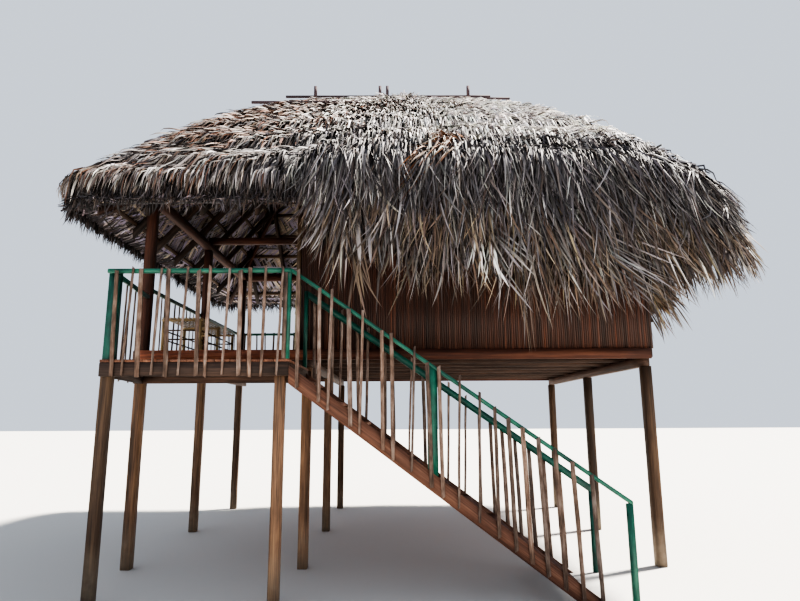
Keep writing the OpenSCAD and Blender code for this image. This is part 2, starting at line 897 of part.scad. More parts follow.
module bench_rails() {
    r = 0.5 * bench_leg_r;
    gap = bench_l / 2 - 3 * bench_leg_r - 2 * seat;
    color("#6a4a34")
        for (z = [0.42, 0.66], x = [bench_x + bench_leg_r, bench_x + bench_d - bench_leg_r],
            y = [bench_y + 2 * bench_leg_r + seat, bench_y + bench_l / 2 + bench_leg_r + seat]) {
            translate([x, y, floor_h + z * bench_h]) rotate([-90, 0, 0]) cylinder(r = r, h = gap, $fn = 24);
        }
    color("#6a4a34")
        for (z = [0.42, 0.66], y = [bench_y + bench_leg_r, bench_y + bench_l - bench_leg_r]) {
            translate([bench_x + 2 * bench_leg_r + seat, y, floor_h + z * bench_h])
                rotate([0, 90, 0]) cylinder(r = r, h = bench_d - 4 * bench_leg_r - 2 * seat, $fn = 24);
        }
}

module bench_seat() {
    step = (bench_d - slat_w) / (slat_n - 1);
    z = floor_h + bench_h;
    color("#d0ad66")
        for (i = [0 : slat_n - 1]) {
            box(bench_x + i * step, bench_x + i * step + slat_w, bench_y, bench_y + bench_l, z - slat_t, z);
        }
}

// Stair

function tread_z(i) = landing_top - i * riser;
// The front edge of a tread comes out of the upper edge of the stringer.
function tread_x(i) = stair_x + (string_top - tread_z(i)) / fall + nosing;

module tread(i) {
    box(tread_x(i) - tread_d, tread_x(i), lout_f + edge_t - housing, stair_y - edge_t + housing,
        tread_z(i) - tread_t, tread_z(i));
}

module stair_treads() {
    color("#8a6450")
        for (i = [1 : riser_n - 1]) {
            tread(i);
        }
}

module stair_stringers() {
    low = string_top - stringer_d;
    color(timber)
        difference() {
            for (y = [lout_f + edge_t, stair_y]) {
                translate([0, y, 0])
                    rotate([90, 0, 0])
                        linear_extrude(edge_t)
                            polygon([[stair_x, string_top], [stair_x, low], [stair_x + low / fall, 0],
                                [stair_x + string_top / fall, 0]]);
            }
            for (i = [1 : riser_n - 1]) {
                tread(i);
            }
        }
}

// A handrail with newels at both ends, over the stringer whose outer face is at y = 0 here
module stair_rail(rail_h, depth, key, newels) {
    rail_fall = (lrail_top - foot_newel_h) / foot_newel_x;
    top = function (x) lrail_top - rail_fall * x;
    string = function (x) string_top - fall * x;
    rotate([90, 0, 0])
        translate([0, 0, -edge_t])
            linear_extrude(edge_t) {
                polygon([[0, top(0)], [foot_newel_x + edge_t, top(foot_newel_x + edge_t)],
                    [foot_newel_x + edge_t, top(foot_newel_x + edge_t) - depth], [0, top(0) - depth]]);
                translate([foot_newel_x, 0]) square([edge_t, top(foot_newel_x + edge_t) - depth / 2]);
                for (x = newels) {
                    polygon([[x, string(x) + seat], [x + edge_t, string(x + edge_t) + seat],
                        [x + edge_t, top(x + edge_t) - depth / 2], [x, top(x) - depth / 2]]);
                }
            }
    translate([stick_w, 0, 0])
        sticks(foot_newel_x - 8 * stick_w, stick_gap * 1.15, string_top - stringer_d + 20,
            rail_h, fall, rail_fall, key);
}

module stair_rail_front() {
    color(green) translate([stair_x, lout_f, 0]) stair_rail(lrail_top, rail_d, 11, [0.42 * foot_newel_x]);
}

module stair_rail_rear() {
    color("#1d5c47") {
        translate([0, 2 * stair_y - edge_t, 0])
            mirror([0, 1, 0])
                translate([stair_x, stair_y - edge_t, 0]) stair_rail(lrail_top, 2 * rail_d, 17, []);
        box(stair_x - edge_t, stair_x, stair_y - edge_t, stair_y, landing_top, lrail_top);
    }
}

front_row_posts();
middle_row_posts();
back_row_posts();
landing_posts();
side_floor_beams();
floor_joists();
front_floor_beam();
back_floor_beam();
left_floor_beam();
veranda_floor();
room_floor();
landing_beams();
landing_floor();
front_wall();
back_wall();
right_wall();
veranda_wall();
wall_posts();
door_frame();
corner_pole();
wall_plates();
tie_beam();
ridge_beam();
hip_rafters();
long_rafters();
end_rafters();
long_purlins();
end_purlins();
thatch_front();
thatch_back();
thatch_left();
thatch_right();
thatch_ridge();
fringe_front();
fringe_right();
fringe_back();
side_leaves();
ridge_poles();
landing_rail_front();
landing_rail_left();
veranda_rail_left();
veranda_rail_back();
bench_frame();
bench_rails();
bench_seat();
stair_stringers();
stair_treads();
stair_rail_front();
stair_rail_rear();
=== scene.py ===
# Raised timber house with a palm-leaf roof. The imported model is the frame, and this script gives it
# sawn timber, boards, reeds, rough sticks and leaves. Everything is in metres.
import math
import bmesh
import bpy
import numpy as np
from mathutils import Matrix, Vector
from mathutils.bvhtree import BVHTree
from mathutils.kdtree import KDTree


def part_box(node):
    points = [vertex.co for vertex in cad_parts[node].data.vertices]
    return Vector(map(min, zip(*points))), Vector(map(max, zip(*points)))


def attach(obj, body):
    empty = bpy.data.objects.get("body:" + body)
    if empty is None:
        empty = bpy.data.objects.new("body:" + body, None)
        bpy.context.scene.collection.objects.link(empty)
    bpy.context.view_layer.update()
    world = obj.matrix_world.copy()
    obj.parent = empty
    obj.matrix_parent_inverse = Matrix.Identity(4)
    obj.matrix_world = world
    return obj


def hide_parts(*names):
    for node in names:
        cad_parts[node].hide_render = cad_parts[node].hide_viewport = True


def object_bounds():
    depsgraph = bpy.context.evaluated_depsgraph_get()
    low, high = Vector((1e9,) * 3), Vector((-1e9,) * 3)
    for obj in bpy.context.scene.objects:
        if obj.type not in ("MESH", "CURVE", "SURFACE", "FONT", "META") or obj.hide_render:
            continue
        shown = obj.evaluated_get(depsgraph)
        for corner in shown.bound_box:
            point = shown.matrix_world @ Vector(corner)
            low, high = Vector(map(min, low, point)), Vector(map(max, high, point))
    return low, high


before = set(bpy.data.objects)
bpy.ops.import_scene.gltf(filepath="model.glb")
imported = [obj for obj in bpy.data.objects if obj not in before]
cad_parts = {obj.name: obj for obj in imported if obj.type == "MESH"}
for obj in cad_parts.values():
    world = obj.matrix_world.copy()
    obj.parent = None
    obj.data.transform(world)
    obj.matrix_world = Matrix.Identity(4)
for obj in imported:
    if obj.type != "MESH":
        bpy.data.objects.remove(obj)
cadLow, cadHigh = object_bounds()
print("frame:", len(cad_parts), "nodes")

# Camera, at eye height in front of the house
cameraView = {
    "place": (-0.17, -8.56, 1.55),
    "pitch": 10.883,         # degrees upwards
    "roll": -0.273,
    "yaw": 0.27,
    "focalPixels": 597.49,   # for an image 800 pixels wide
    "imageWidth": 800,
    "sensor": 36.0,
}


def makeCamera(view):
    pitch, roll, yaw = (math.radians(view[key]) for key in ("pitch", "roll", "yaw"))
    level = Vector((math.sin(yaw), math.cos(yaw), 0))
    side = Vector((math.cos(yaw), -math.sin(yaw), 0))
    forward = level * math.cos(pitch) + Vector((0, 0, math.sin(pitch)))
    up = Vector((0, 0, math.cos(pitch))) - level * math.sin(pitch)
    right = side * math.cos(roll) + up * math.sin(roll)
    up = up * math.cos(roll) - side * math.sin(roll)
    data = bpy.data.cameras.new("camera")
    data.sensor_width = view["sensor"]
    data.lens = view["focalPixels"] * view["sensor"] / view["imageWidth"]
    camera = bpy.data.objects.new("camera", data)
    bpy.context.scene.collection.objects.link(camera)
    turn = Matrix((right, up, -forward)).transposed().to_4x4()
    camera.matrix_world = Matrix.Translation(view["place"]) @ turn
    bpy.context.scene.camera = camera


makeCamera(cameraView)


# Small helpers for nodes, materials and meshes

def hexColor(code):
    channels = [int(code[i:i + 2], 16) / 255 for i in (1, 3, 5)]
    return [c / 12.92 if c <= 0.04045 else ((c + 0.055) / 1.055) ** 2.4 for c in channels] + [1.0]


# Inputs go by name or number, each with a value, a hex colour, or the node or socket that feeds it.
# Stops are a ramp's places, each with a hex colour or a grey from 0 to 1.
def addNode(material, kind, inputs=None, stops=(), **settings):
    tree = material.node_tree
    node = tree.nodes.new("ShaderNode" + kind)
    for key, value in settings.items():
        setattr(node, key, value)
    for key, value in (inputs or {}).items():
        if isinstance(value, bpy.types.Node):
            value = next(socket for socket in value.outputs if socket.enabled)
        if isinstance(value, bpy.types.NodeSocket):
            tree.links.new(value, node.inputs[key])
        else:
            node.inputs[key].default_value = hexColor(value) if isinstance(value, str) else value
    if stops:
        elements = node.color_ramp.elements
        while len(elements) < len(stops):
            elements.new(0.5)
        for element, (place, color) in zip(elements, stops):
            element.position = place
            element.color = hexColor(color) if isinstance(color, str) else (color, color, color, 1)
    return node


# The colours of a Mix node are its inputs 6 and 7
mixing = {"data_type": "RGBA"}
multiplying = {"data_type": "RGBA", "blend_type": "MULTIPLY"}


def newMaterial(name):
    material = bpy.data.materials.new(name)
    material.use_nodes = True
    material.node_tree.nodes.clear()
    return material


# Closes a material. The height pattern stands for a relief of that many metres.
def finishMaterial(material, color, roughness, height, relief, strength, ior=1.5):
    bump = addNode(material, "Bump", {"Height": height, "Distance": relief, "Strength": strength})
    shader = addNode(material, "BsdfPrincipled",
                     {"Base Color": color, "Roughness": roughness, "IOR": ior, "Normal": bump})
    addNode(material, "OutputMaterial", {"Surface": shader})
    return material


# Noise in waves a metre. Three scales stretch it along and across a piece's own grain, and a single
# one spreads it evenly over the object.
def pattern(material, scale, detail=4.0, roughness=0.6, distortion=0.0):
    if isinstance(scale, tuple):
        grain = addNode(material, "Attribute", attribute_name="grain").outputs["Vector"]
        place, scale = addNode(material, "Mapping", {"Vector": grain, "Scale": scale}), 1.0
    else:
        place = addNode(material, "TexCoord").outputs["Object"]
    return addNode(material, "TexNoise", {"Vector": place, "Scale": scale, "Detail": detail,
                                          "Roughness": roughness, "Distortion": distortion})


def patternSum(material, first, firstShare, second, secondShare):
    rest = addNode(material, "Math", {0: second, 1: secondShare}, operation="MULTIPLY")
    return addNode(material, "Math", {0: first, 1: firstShare, 2: rest}, operation="MULTIPLY_ADD")


# Stains by rain, hands and smoke: how dark, between which places of the pattern, and how strong
def stained(material, color, source, darkest, places, amount):
    stain = addNode(material, "ValToRGB", {0: source}, list(zip(places, (darkest, 1.0))))
    return addNode(material, "Mix", {0: amount, 6: color, 7: stain}, **multiplying)


# Each piece's own tone is kept in its mesh
def ownTone(material, color):
    tint = addNode(material, "Attribute", attribute_name="tint")
    return addNode(material, "Mix", {0: 1.0, 6: color, 7: tint}, **multiplying)


def linkPiece(name, mesh, replaced=()):
    piece = bpy.data.objects.new(name, mesh)
    bpy.context.scene.collection.objects.link(piece)
    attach(piece, "root")
    if replaced:
        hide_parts(*replaced)
    return piece


# faces is a list of arrays, each with one row of vertex numbers for a face
def meshFromArrays(name, points, faces, materials, layers=None, faceMaterials=None):
    mesh = bpy.data.meshes.new(name)
    loops = np.concatenate([f.ravel() for f in faces])
    sizes = np.concatenate([np.full(len(f), f.shape[1]) for f in faces])
    starts = np.concatenate([[0], np.cumsum(sizes)[:-1]])
    mesh.vertices.add(len(points))
    mesh.vertices.foreach_set("co", np.asarray(points, np.float32).ravel())
    mesh.loops.add(len(loops))
    mesh.loops.foreach_set("vertex_index", loops.astype(np.int32))
    mesh.polygons.add(len(sizes))
    mesh.polygons.foreach_set("loop_start", starts.astype(np.int32))
    if faceMaterials is not None:
        mesh.polygons.foreach_set("material_index", np.asarray(faceMaterials, np.int32))
    for material in materials:
        mesh.materials.append(material)
    mesh.update(calc_edges=True)
    for layer, (kind, values) in (layers or {}).items():
        attribute = mesh.attributes.new(layer, kind, "POINT")
        field = {"FLOAT_VECTOR": "vector", "FLOAT_COLOR": "color"}[kind]
        attribute.data.foreach_set(field, np.asarray(values, np.float32).ravel())
    return mesh


# Materials

# Sawn hardwood left to weather: dull, with long grain streaks, darker bands and dusty feet, and on
# posts a darker red above the floor as painted shade.
def sawnTimber(name, colors, dustAndShade=0.0):
    wood = newMaterial(name)
    fine = pattern(wood, (3.0, 110.0, 110.0), 3.0)               # saw marks and pores, 9 mm apart
    bands = pattern(wood, (0.7, 16.0, 16.0), distortion=0.6)     # growth bands, 60 mm apart
    blotch = pattern(wood, (1.6, 4.0, 4.0), 5.0)                 # rain and hand stains, 250 mm apart
    streaks = patternSum(wood, fine, 0.45, bands, 0.55)
    color = addNode(wood, "ValToRGB", {0: streaks}, list(zip((0.36, 0.5, 0.64), colors)))
    color = ownTone(wood, stained(wood, color, blotch, 0.62, (0.38, 0.6), 0.8))
    if dustAndShade:
        # Painted shade: above the floor, under the roof, the posts are drawn a darker red
        height = addNode(wood, "SeparateXYZ", {0: addNode(wood, "TexCoord").outputs["Object"]}).outputs["Z"]
        above = addNode(wood, "MapRange", {"Value": height, "From Min": 2.1, "From Max": 2.3})
        shadedRed = addNode(wood, "Mix", {0: 1.0, 6: color, 7: "#9c7974"}, **multiplying)
        color = addNode(wood, "Mix", {0: above, 6: color, 7: shadedRed}, **mixing)
        foot = addNode(wood, "MapRange",
                       {"Value": height, "From Min": 0.02, "From Max": 0.5, "To Min": 1.0, "To Max": 0.0})
        amount = addNode(wood, "Math", {0: foot, 1: pattern(wood, 9.0)}, operation="MULTIPLY")
        amount = addNode(wood, "Math", {0: amount, 1: dustAndShade}, operation="MULTIPLY")
        color = addNode(wood, "Mix", {0: amount, 6: color, 7: "#a89a86"}, **mixing)
    return finishMaterial(wood, color, 0.78, streaks, 0.004, 0.7)


# Oil paint brushed on rough timber: half gloss, thin over the grain, rubbed off in patches.
def brushedPaint(name, colors, bare):
    paint = newMaterial(name)
    grain = pattern(paint, (4.0, 90.0, 90.0), 3.0)               # brush marks, 11 mm apart
    patch = pattern(paint, (5.0, 14.0, 14.0), 6.0, 0.7)          # worn patches, 70 mm apart
    worn = addNode(paint, "Math", {0: grain, 1: patch}, operation="MULTIPLY")
    worn = addNode(paint, "ValToRGB", {0: worn}, ((0.37, 0.0), (0.43, 0.85)))
    color = addNode(paint, "ValToRGB", {0: patch}, list(zip((0.35, 0.5, 0.68), colors)))
    color = addNode(paint, "Mix", {0: worn, 6: color, 7: bare}, **mixing)
    return finishMaterial(paint, color, 0.5, grain, 0.002, 0.6)


# Split sticks with the bark off, greyed by rain: matt, fibrous, each of its own tone.
def splitStick(name, colors):
    stick = newMaterial(name)
    fibre = pattern(stick, (6.0, 160.0, 160.0))                  # fibres, 6 mm apart
    blotch = pattern(stick, (7.0, 12.0, 12.0), 3.0)              # weather marks, 80 mm apart
    tones = patternSum(stick, fibre, 0.5, blotch, 0.5)
    color = addNode(stick, "ValToRGB", {0: tones}, list(zip((0.38, 0.5, 0.62), colors)))
    return finishMaterial(stick, ownTone(stick, color), 0.85, fibre, 0.002, 0.8)


# Split reeds nailed side by side: a hard skin with a slight shine and long streaks.
def splitReed(name, colors):
    reed = newMaterial(name)
    streak = pattern(reed, (1.5, 140.0, 140.0))                  # streaks, 7 mm apart
    blotch = pattern(reed, (2.0, 3.0, 3.0), 5.0)                 # stains, 330 mm apart
    color = addNode(reed, "ValToRGB", {0: streak}, list(zip((0.35, 0.52, 0.7), colors)))
    color = ownTone(reed, stained(reed, color, blotch, 0.6, (0.35, 0.62), 0.8))
    return finishMaterial(reed, color, 0.55, streak, 0.0015, 0.6)


# Dried palm leaflets: papery, waxy on the face, ribbed along their length, each of its own tone.
def driedLeaf(name):
    leaf = newMaterial(name)
    ribs = pattern(leaf, (3.0, 300.0, 300.0), 2.0)               # ribs, 3 mm apart
    mottle = pattern(leaf, (9.0, 30.0, 30.0))                    # mould spots, 33 mm apart
    shade = addNode(leaf, "MapRange",
                    {"Value": mottle, "From Min": 0.3, "From Max": 0.7, "To Min": 0.72, "To Max": 1.18})
    return finishMaterial(leaf, ownTone(leaf, shade), 0.62, ribs, 0.001, 0.5, 1.45)


# The imported leaf mass under the top leaves: coarse and matt, in the colours given.
def packedLeaves(name, colors):
    mass = newMaterial(name)
    coarse = pattern(mass, 14.0, 6.0, 0.7)                       # tufts, 70 mm apart
    fine = pattern(mass, 90.0, 4.0, 0.7)                         # leaf ends, 11 mm apart
    color = addNode(mass, "ValToRGB", {0: coarse}, list(zip((0.35, 0.55, 0.75), colors)))
    return finishMaterial(mass, color, 0.95, fine, 0.02, 0.9)


# Whole bamboo: pale waxy skin, smooth between its rings, with grey weather marks.
def wholeBamboo(name, colors):
    skin = newMaterial(name)
    streak = pattern(skin, (2.0, 60.0, 60.0))                    # streaks, 17 mm apart
    blotch = pattern(skin, (5.0, 10.0, 10.0), 5.0)               # weather marks, 100 mm apart
    color = addNode(skin, "ValToRGB", {0: streak}, list(zip((0.35, 0.5, 0.66), colors)))
    color = ownTone(skin, stained(skin, color, blotch, 0.65, (0.35, 0.55), 0.7))
    return finishMaterial(skin, color, 0.55, streak, 0.001, 0.4)


postWood = sawnTimber("weatheredShadedHardwood", ("#45362b", "#735743", "#957659"), 0.8)
frameWood = sawnTimber("smokedHardwood", ("#2b201b", "#46342b", "#634a3d"))
redWood = sawnTimber("redSawnHardwood", ("#361e16", "#522c1d", "#6a402c"))
boardWood = sawnTimber("softwoodBoards", ("#55382b", "#7e5441", "#9e7158"))
purlinWood = sawnTimber("splitBattens", ("#4a382c", "#6b5240", "#8a6c52"))
ridgeWood = sawnTimber("barkedPole", ("#2e2228", "#4c3a3f", "#6f5a58"))
greenPaint = brushedPaint("greenOilPaint", ("#0f4238", "#175746", "#2a715c"), "#63574a")
darkGreenPaint = brushedPaint("darkGreenOilPaint", ("#0a332c", "#11493e", "#1d604f"), "#4e443a")
stickWood = splitStick("splitSticks", ("#4a3b33", "#725d51", "#98867b"))
reedSkin = splitReed("splitReedSkin", ("#301a12", "#4d2a1c", "#60402f"))
leafBlade = driedLeaf("driedPalmLeaf")
# Drawn dark as painted shade in the gaps between the leaves
shadedLeafPack = packedLeaves("shadedPackedLeaf", ("#1d1713", "#3a2e25", "#5a4836"))
underLitLeaf = packedLeaves("underLitPalmLeaf", ("#4c444a", "#61575c", "#766a6c"))     # paler: painted light on the roof's underside, where little light reaches
bambooSkin = wholeBamboo("paleBamboo", ("#8d7a5c", "#b7a582", "#d8cbac"))
yellowBamboo = wholeBamboo("yellowBamboo", ("#86704f", "#ab9068", "#c6b08a"))
darkCane = wholeBamboo("smokedCane", ("#2c1f1a", "#4a352a", "#6c503c"))
print("materials:", len(bpy.data.materials))


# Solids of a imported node, each with clean faces and its own long direction

def nodeSolids(node):
    work = bmesh.new()
    work.from_mesh(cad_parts[node].data)
    bmesh.ops.remove_doubles(work, verts=work.verts, dist=1e-5)
    bmesh.ops.dissolve_limit(work, angle_limit=math.radians(1), verts=work.verts, edges=work.edges)
    work.verts.index_update()
    left, solids = set(work.verts), []
    while left:
        found, queue = set(), [left.pop()]
        while queue:
            vertex = queue.pop()
            found.add(vertex)
            for edge in vertex.link_edges:
                other = edge.other_vert(vertex)
                if other in left:
                    left.remove(other)
                    queue.append(other)
        verts = sorted(found, key=lambda v: v.index)
        number = {v: i for i, v in enumerate(verts)}
        faces = sorted({f for v in verts for f in v.link_faces}, key=lambda f: f.index)
        solids.append(([v.co.copy() for v in verts], [[number[v] for v in f.verts] for f in faces]))
    work.free()
    return sorted(solids, key=lambda solid: tuple(round(c, 3) for c in solid[0][0]))


def longDirection(points, faces):
    best, length = Vector((1, 0, 0)), 0
    for face in faces:
        for a, b in zip(face, face[1:] + face[:1]):
            edge = points[b] - points[a]
            if edge.length > length * 1.001:
                best, length = edge.normalized(), edge.length
    return -best if best.x + 1.1 * best.y + 1.2 * best.z < 0 else best


def crossAxes(along):
    across = along.cross(Vector((0, 0, 1)))
    if across.length < 0.1:
        across = along.cross(Vector((0, 1, 0)))
    across.normalize()
    return across, along.cross(across)


def reachAlong(points, axis):
    reach = [p.dot(axis) for p in points]
    return min(reach), max(reach)


def meshOfSolid(points, faces):
    work = bmesh.new()
    verts = [work.verts.new(p) for p in points]
    for face in faces:
        work.faces.new([verts[i] for i in face])
    return work


def cutAcross(work, place, normal, distance=1e-5, clearOuter=False):
    return bmesh.ops.bisect_plane(work, geom=work.verts[:] + work.edges[:] + work.faces[:], plane_co=place,
                                  plane_no=normal, dist=distance, clear_outer=clearOuter)


# What a piece collects before it becomes a mesh: its solids' points, with grain places and tints
def newTarget():
    return {"points": [], "grain": [], "tint": [], "faces": [], "materials": []}


def warmTone(tone, warm):
    return tone * (1 + warm), tone, tone * (1 - warm), 1


def addPoint(target, place, grain, tint):
    target["points"].append(place)
    target["grain"].append(grain)
    target["tint"].append(tint)


# A solid as it is, of one tint
def addSolid(target, points, faces, tint, grain=None):
    start = len(target["points"])
    for i, place in enumerate(points):
        addPoint(target, place, tuple((grain or points)[i]), tint)
    target["faces"] += [[start + i for i in face] for face in faces]


# The side and the two ends of a tube, from rings of points that begin at start
def addTubeFaces(target, start, rings, sides):
    for k in range(rings - 1):
        for j in range(sides):
            a, b = start + k * sides + j, start + k * sides + (j + 1) % sides
            target["faces"].append([a, b, b + sides, a + sides])
    last = start + (rings - 1) * sides
    target["faces"] += [[start + j for j in range(sides)][::-1], [last + j for j in range(sides)]]


def meshFromTarget(name, target, materials):
    sizes = sorted({len(f) for f in target["faces"]})
    order = [[i for i, f in enumerate(target["faces"]) if len(f) == size] for size in sizes]
    faces = [np.array([target["faces"][i] for i in group]) for group in order]
    chosen = [target["materials"][i] for group in order for i in group] if target["materials"] else None
    layers = {"grain": ("FLOAT_VECTOR", target["grain"]), "tint": ("FLOAT_COLOR", target["tint"])}
    return meshFromArrays(name, target["points"], faces, materials, layers, chosen)


# The piece that takes a node's place: its name is the node's with an ending
def replaceNode(node, ending, target, materials, smooth=False):
    mesh = meshFromTarget(node + ending, target, materials)
    if smooth:
        mesh.shade_smooth()
    linkPiece(node + ending, mesh, (node,))


timberStyle = {
    "cut": 0.35,             # metres between the cross cuts that let a piece bend
    "edge": 0.004,           # worn off the edges
    "sharp": 25,             # degrees, edges that are sharper than this are worn
    "sway": 0.0012,
    "waves": ((2.1, 5.3), (1.7, 4.7)),     # of the sway to the side and up, in radians a metre
    "still": 0.3,            # metres at both ends in which the sway fades out
    "tone": (0.82, 1.12),
}


def swayAt(s, sway, waves, phases):
    return sway * (math.sin(waves[0] * s + phases[0]) + 0.5 * math.sin(waves[1] * s + phases[1]))


# Brightness of one place: painted light on wood left of a line, painted shade on ends below a height
def spotGain(place, style):
    gain = 1.0
    if "fresh" in style and place.x < style["fresh"]["leftOf"]:
        gain = style["fresh"]["gain"]
    if "tail" in style:
        depth = (style["tail"]["below"] - place.z) / style["tail"]["fade"]
        gain *= 1 - style["tail"]["dark"] * min(1, max(0, depth))
    return gain


# One solid as rough timber: cut along its length, bent a little, with worn edges
def roughSolid(target, points, faces, style, rng):
    along = longDirection(points, faces)
    across, third = crossAxes(along)
    low, high = reachAlong(points, along)
    work = meshOfSolid(points, faces)
    cuts = max(1, round((high - low) / style["cut"]))
    for k in range(1, cuts):
        cutAcross(work, along * (low + (high - low) * k / cuts), along)
    if style.get("paintFrom") and high > style["paintFrom"] + 0.1:
        cutAcross(work, (0, 0, style["paintFrom"]), (0, 0, 1))
    sharp = math.radians(style["sharp"])
    edges = [e for e in work.edges if len(e.link_faces) == 2 and e.calc_face_angle() > sharp]
    bmesh.ops.bevel(work, geom=edges, offset=style["edge"], segments=2, affect="EDGES", clamp_overlap=True)
    phase = rng.uniform(0, 2 * math.pi, 6)
    shift = rng.uniform(-40, 40, 3)
    tone = rng.uniform(*style["tone"]) * style.get("share", 1.0)
    warm = rng.uniform(-0.04, 0.04)
    start = len(target["points"])
    for vertex in work.verts:
        s = vertex.co.dot(along)
        sideways = swayAt(s, style["sway"], style["waves"][0], phase[:2])
        upwards = swayAt(s, style["sway"], style["waves"][1], phase[2:4])
        fade = max(0, min(1, (s - low) / style["still"], (high - s) / style["still"]))
        place = vertex.co + (across * sideways + third * upwards) * fade
        place.z = max(0, place.z)
        grain = (s + shift[0], vertex.co.dot(across) + shift[1], vertex.co.dot(third) + shift[2])
        addPoint(target, place, grain, warmTone(tone * spotGain(vertex.co, style), warm))
    work.verts.index_update()
    for face in work.faces:
        target["faces"].append([start + v.index for v in face.verts])
        if "paintFrom" in style:
            target["materials"].append(int(face.calc_center_median().z > style["paintFrom"]))
    work.free()


# Finish, slot and nodes of the timbers
timbers = (
    (postWood, "post_timber", ("front_row_posts", "middle_row_posts", "back_row_posts", "landing_posts")),
    (frameWood, "dark_timber", ("side_floor_beams", "floor_joists")),
    (redWood, "red_timber", ("front_floor_beam", "back_floor_beam", "left_floor_beam")),
    (frameWood, "dark_timber", ("landing_beams", "wall_posts")),
    (redWood, "red_timber", ("door_frame", "wall_plates", "tie_beam")),
    (frameWood, "dark_timber", ("ridge_beam",)),
    (redWood, "red_timber", ("hip_rafters",)),
    (frameWood, "red_timber", ("long_rafters", "end_rafters")),
    (purlinWood, "bamboo", ("long_purlins", "end_purlins")),
    (boardWood, "dark_timber", ("stair_stringers",)),
    (boardWood, "floor_boards", ("stair_treads",)),
    (ridgeWood, "dark_pole", ("ridge_poles",)),
)
# Brightness of single timbers, from left to right: partly their own tone, partly painted sun and shade
timberLightAndTone = {
    "landing_posts": (0.4, 1.65), "front_row_posts": (0.95, 1.8, 0.48), "back_row_posts": (0.8, 0.6, 0.45),
    "middle_row_posts": (1.0, 1.0, 0.35), "stair_stringers": (0.8, 0.65), "long_purlins": (0.65,),
    "end_purlins": (0.65,),
}
# The landing post that carries the rail is painted from the landing up, the front beam beside the landing
# is drawn brighter as painted light, and the rafters' ends under the edge of the leaves are dark as painted
# shade
rafterStyle = {"cut": 0.2, "tail": {"below": 4.02, "fade": 0.06, "dark": 0.6}}
ownStyles = {
    "landing_posts": {"paintFrom": 2.05},
    "front_floor_beam": {"fresh": {"leftOf": -1.2, "gain": 3.2}},
    "hip_rafters": rafterStyle, "long_rafters": rafterStyle, "end_rafters": rafterStyle,
}


def sawnPiece(node, material, seed):
    rng = np.random.default_rng(seed)
    target = newTarget()
    style = dict(timberStyle, **ownStyles.get(node, {}))
    shares = timberLightAndTone.get(node, (1.0,))
    for i, solid in enumerate(nodeSolids(node)):
        roughSolid(target, *solid, dict(style, share=shares[i % len(shares)]), rng)
    materials = [material, darkGreenPaint] if "paintFrom" in style else [material]
    replaceNode(node, "_sawn", target, materials)


timberNodes = [(node, material, slot) for material, slot, nodes in timbers for node in nodes]
for index, (node, material, slot) in enumerate(timberNodes):
    sawnPiece(node, material, 10 + index)
print("timbers:", len(timberNodes))


# Floors: boards with open joints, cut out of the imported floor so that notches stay
boardStyle = dict(timberStyle, cut=0.5, edge=0.003, sway=0.0008, tone=(0.75, 1.15), width=0.13, joint=0.004)


def cutStrip(points, faces, axis, low, high):
    work = meshOfSolid(points, faces)
    # Outlines with notches are cut as triangles, else their faces get lost
    bmesh.ops.triangulate(work, faces=work.faces[:])
    for place, outside in ((low, -1), (high, 1)):
        cut = cutAcross(work, axis * place, axis * outside, 1e-6, True)
        rim = [e for e in cut["geom_cut"] if isinstance(e, bmesh.types.BMEdge) and e.is_boundary]
        bmesh.ops.holes_fill(work, edges=rim, sides=0)
    bmesh.ops.dissolve_limit(work, angle_limit=math.radians(1), verts=work.verts, edges=work.edges)
    work.verts.index_update()
    result = [v.co.copy() for v in work.verts], [[v.index for v in f.verts] for f in work.faces]
    work.free()
    return result


# The boards lie side by side in x
def boardedPiece(node, seed, style=boardStyle):
    rng = np.random.default_rng(seed)
    target = newTarget()
    axis = Vector((1, 0, 0))
    for points, faces in nodeSolids(node):
        low, high = reachAlong(points, axis)
        count = max(1, round((high - low) / style["width"]))
        places = np.linspace(low, high, count + 1)
        places[1:-1] += rng.uniform(-0.12, 0.12, count - 1) * style["width"]
        half = style["joint"] / 2
        for start, end in zip(places, places[1:]):
            board = cutStrip(points, faces, axis, start + half, end - half)
            if board[1]:
                roughSolid(target, *board, style, rng)
    replaceNode(node, "_boards", target, [boardWood])


floors = ("veranda_floor", "room_floor", "landing_floor")
for index, node in enumerate(floors):
    boardedPiece(node, 41 + index)
print("floors:", len(floors))

# Walls: split reeds nailed upright on both faces of a thin core
reedStyle = {
    "width": 0.021,
    "uneven": (0.72, 1.25),  # of the width
    "depth": 0.008,
    "core": 0.012,
    "coreTone": 0.3,
    "segment": 0.45,
    "wander": 0.0015,
    "ragged": 0.012,         # how much shorter a reed may be
    "tones": ((0.6, 0.42), (0.92, 0.43), (1.4, 0.15)),              # tone and share of the reeds
    "outline": ((-0.5, 0), (-0.36, 0.72), (0, 1), (0.36, 0.72), (0.5, 0)),    # in widths and depths
    "fill": 0.96,            # of the width, the rest is the joint
}


# Heights at which an upright line enters and leaves the wall
def wallHeights(tree, place):
    heights, z, upwards = [], -1.0, Vector((0, 0, 1))
    while True:
        hit = tree.ray_cast(place + upwards * z, upwards)[0]
        if hit is None:
            return list(zip(heights[::2], heights[1::2]))
        heights.append(hit.z)
        z = hit.z + 1e-4


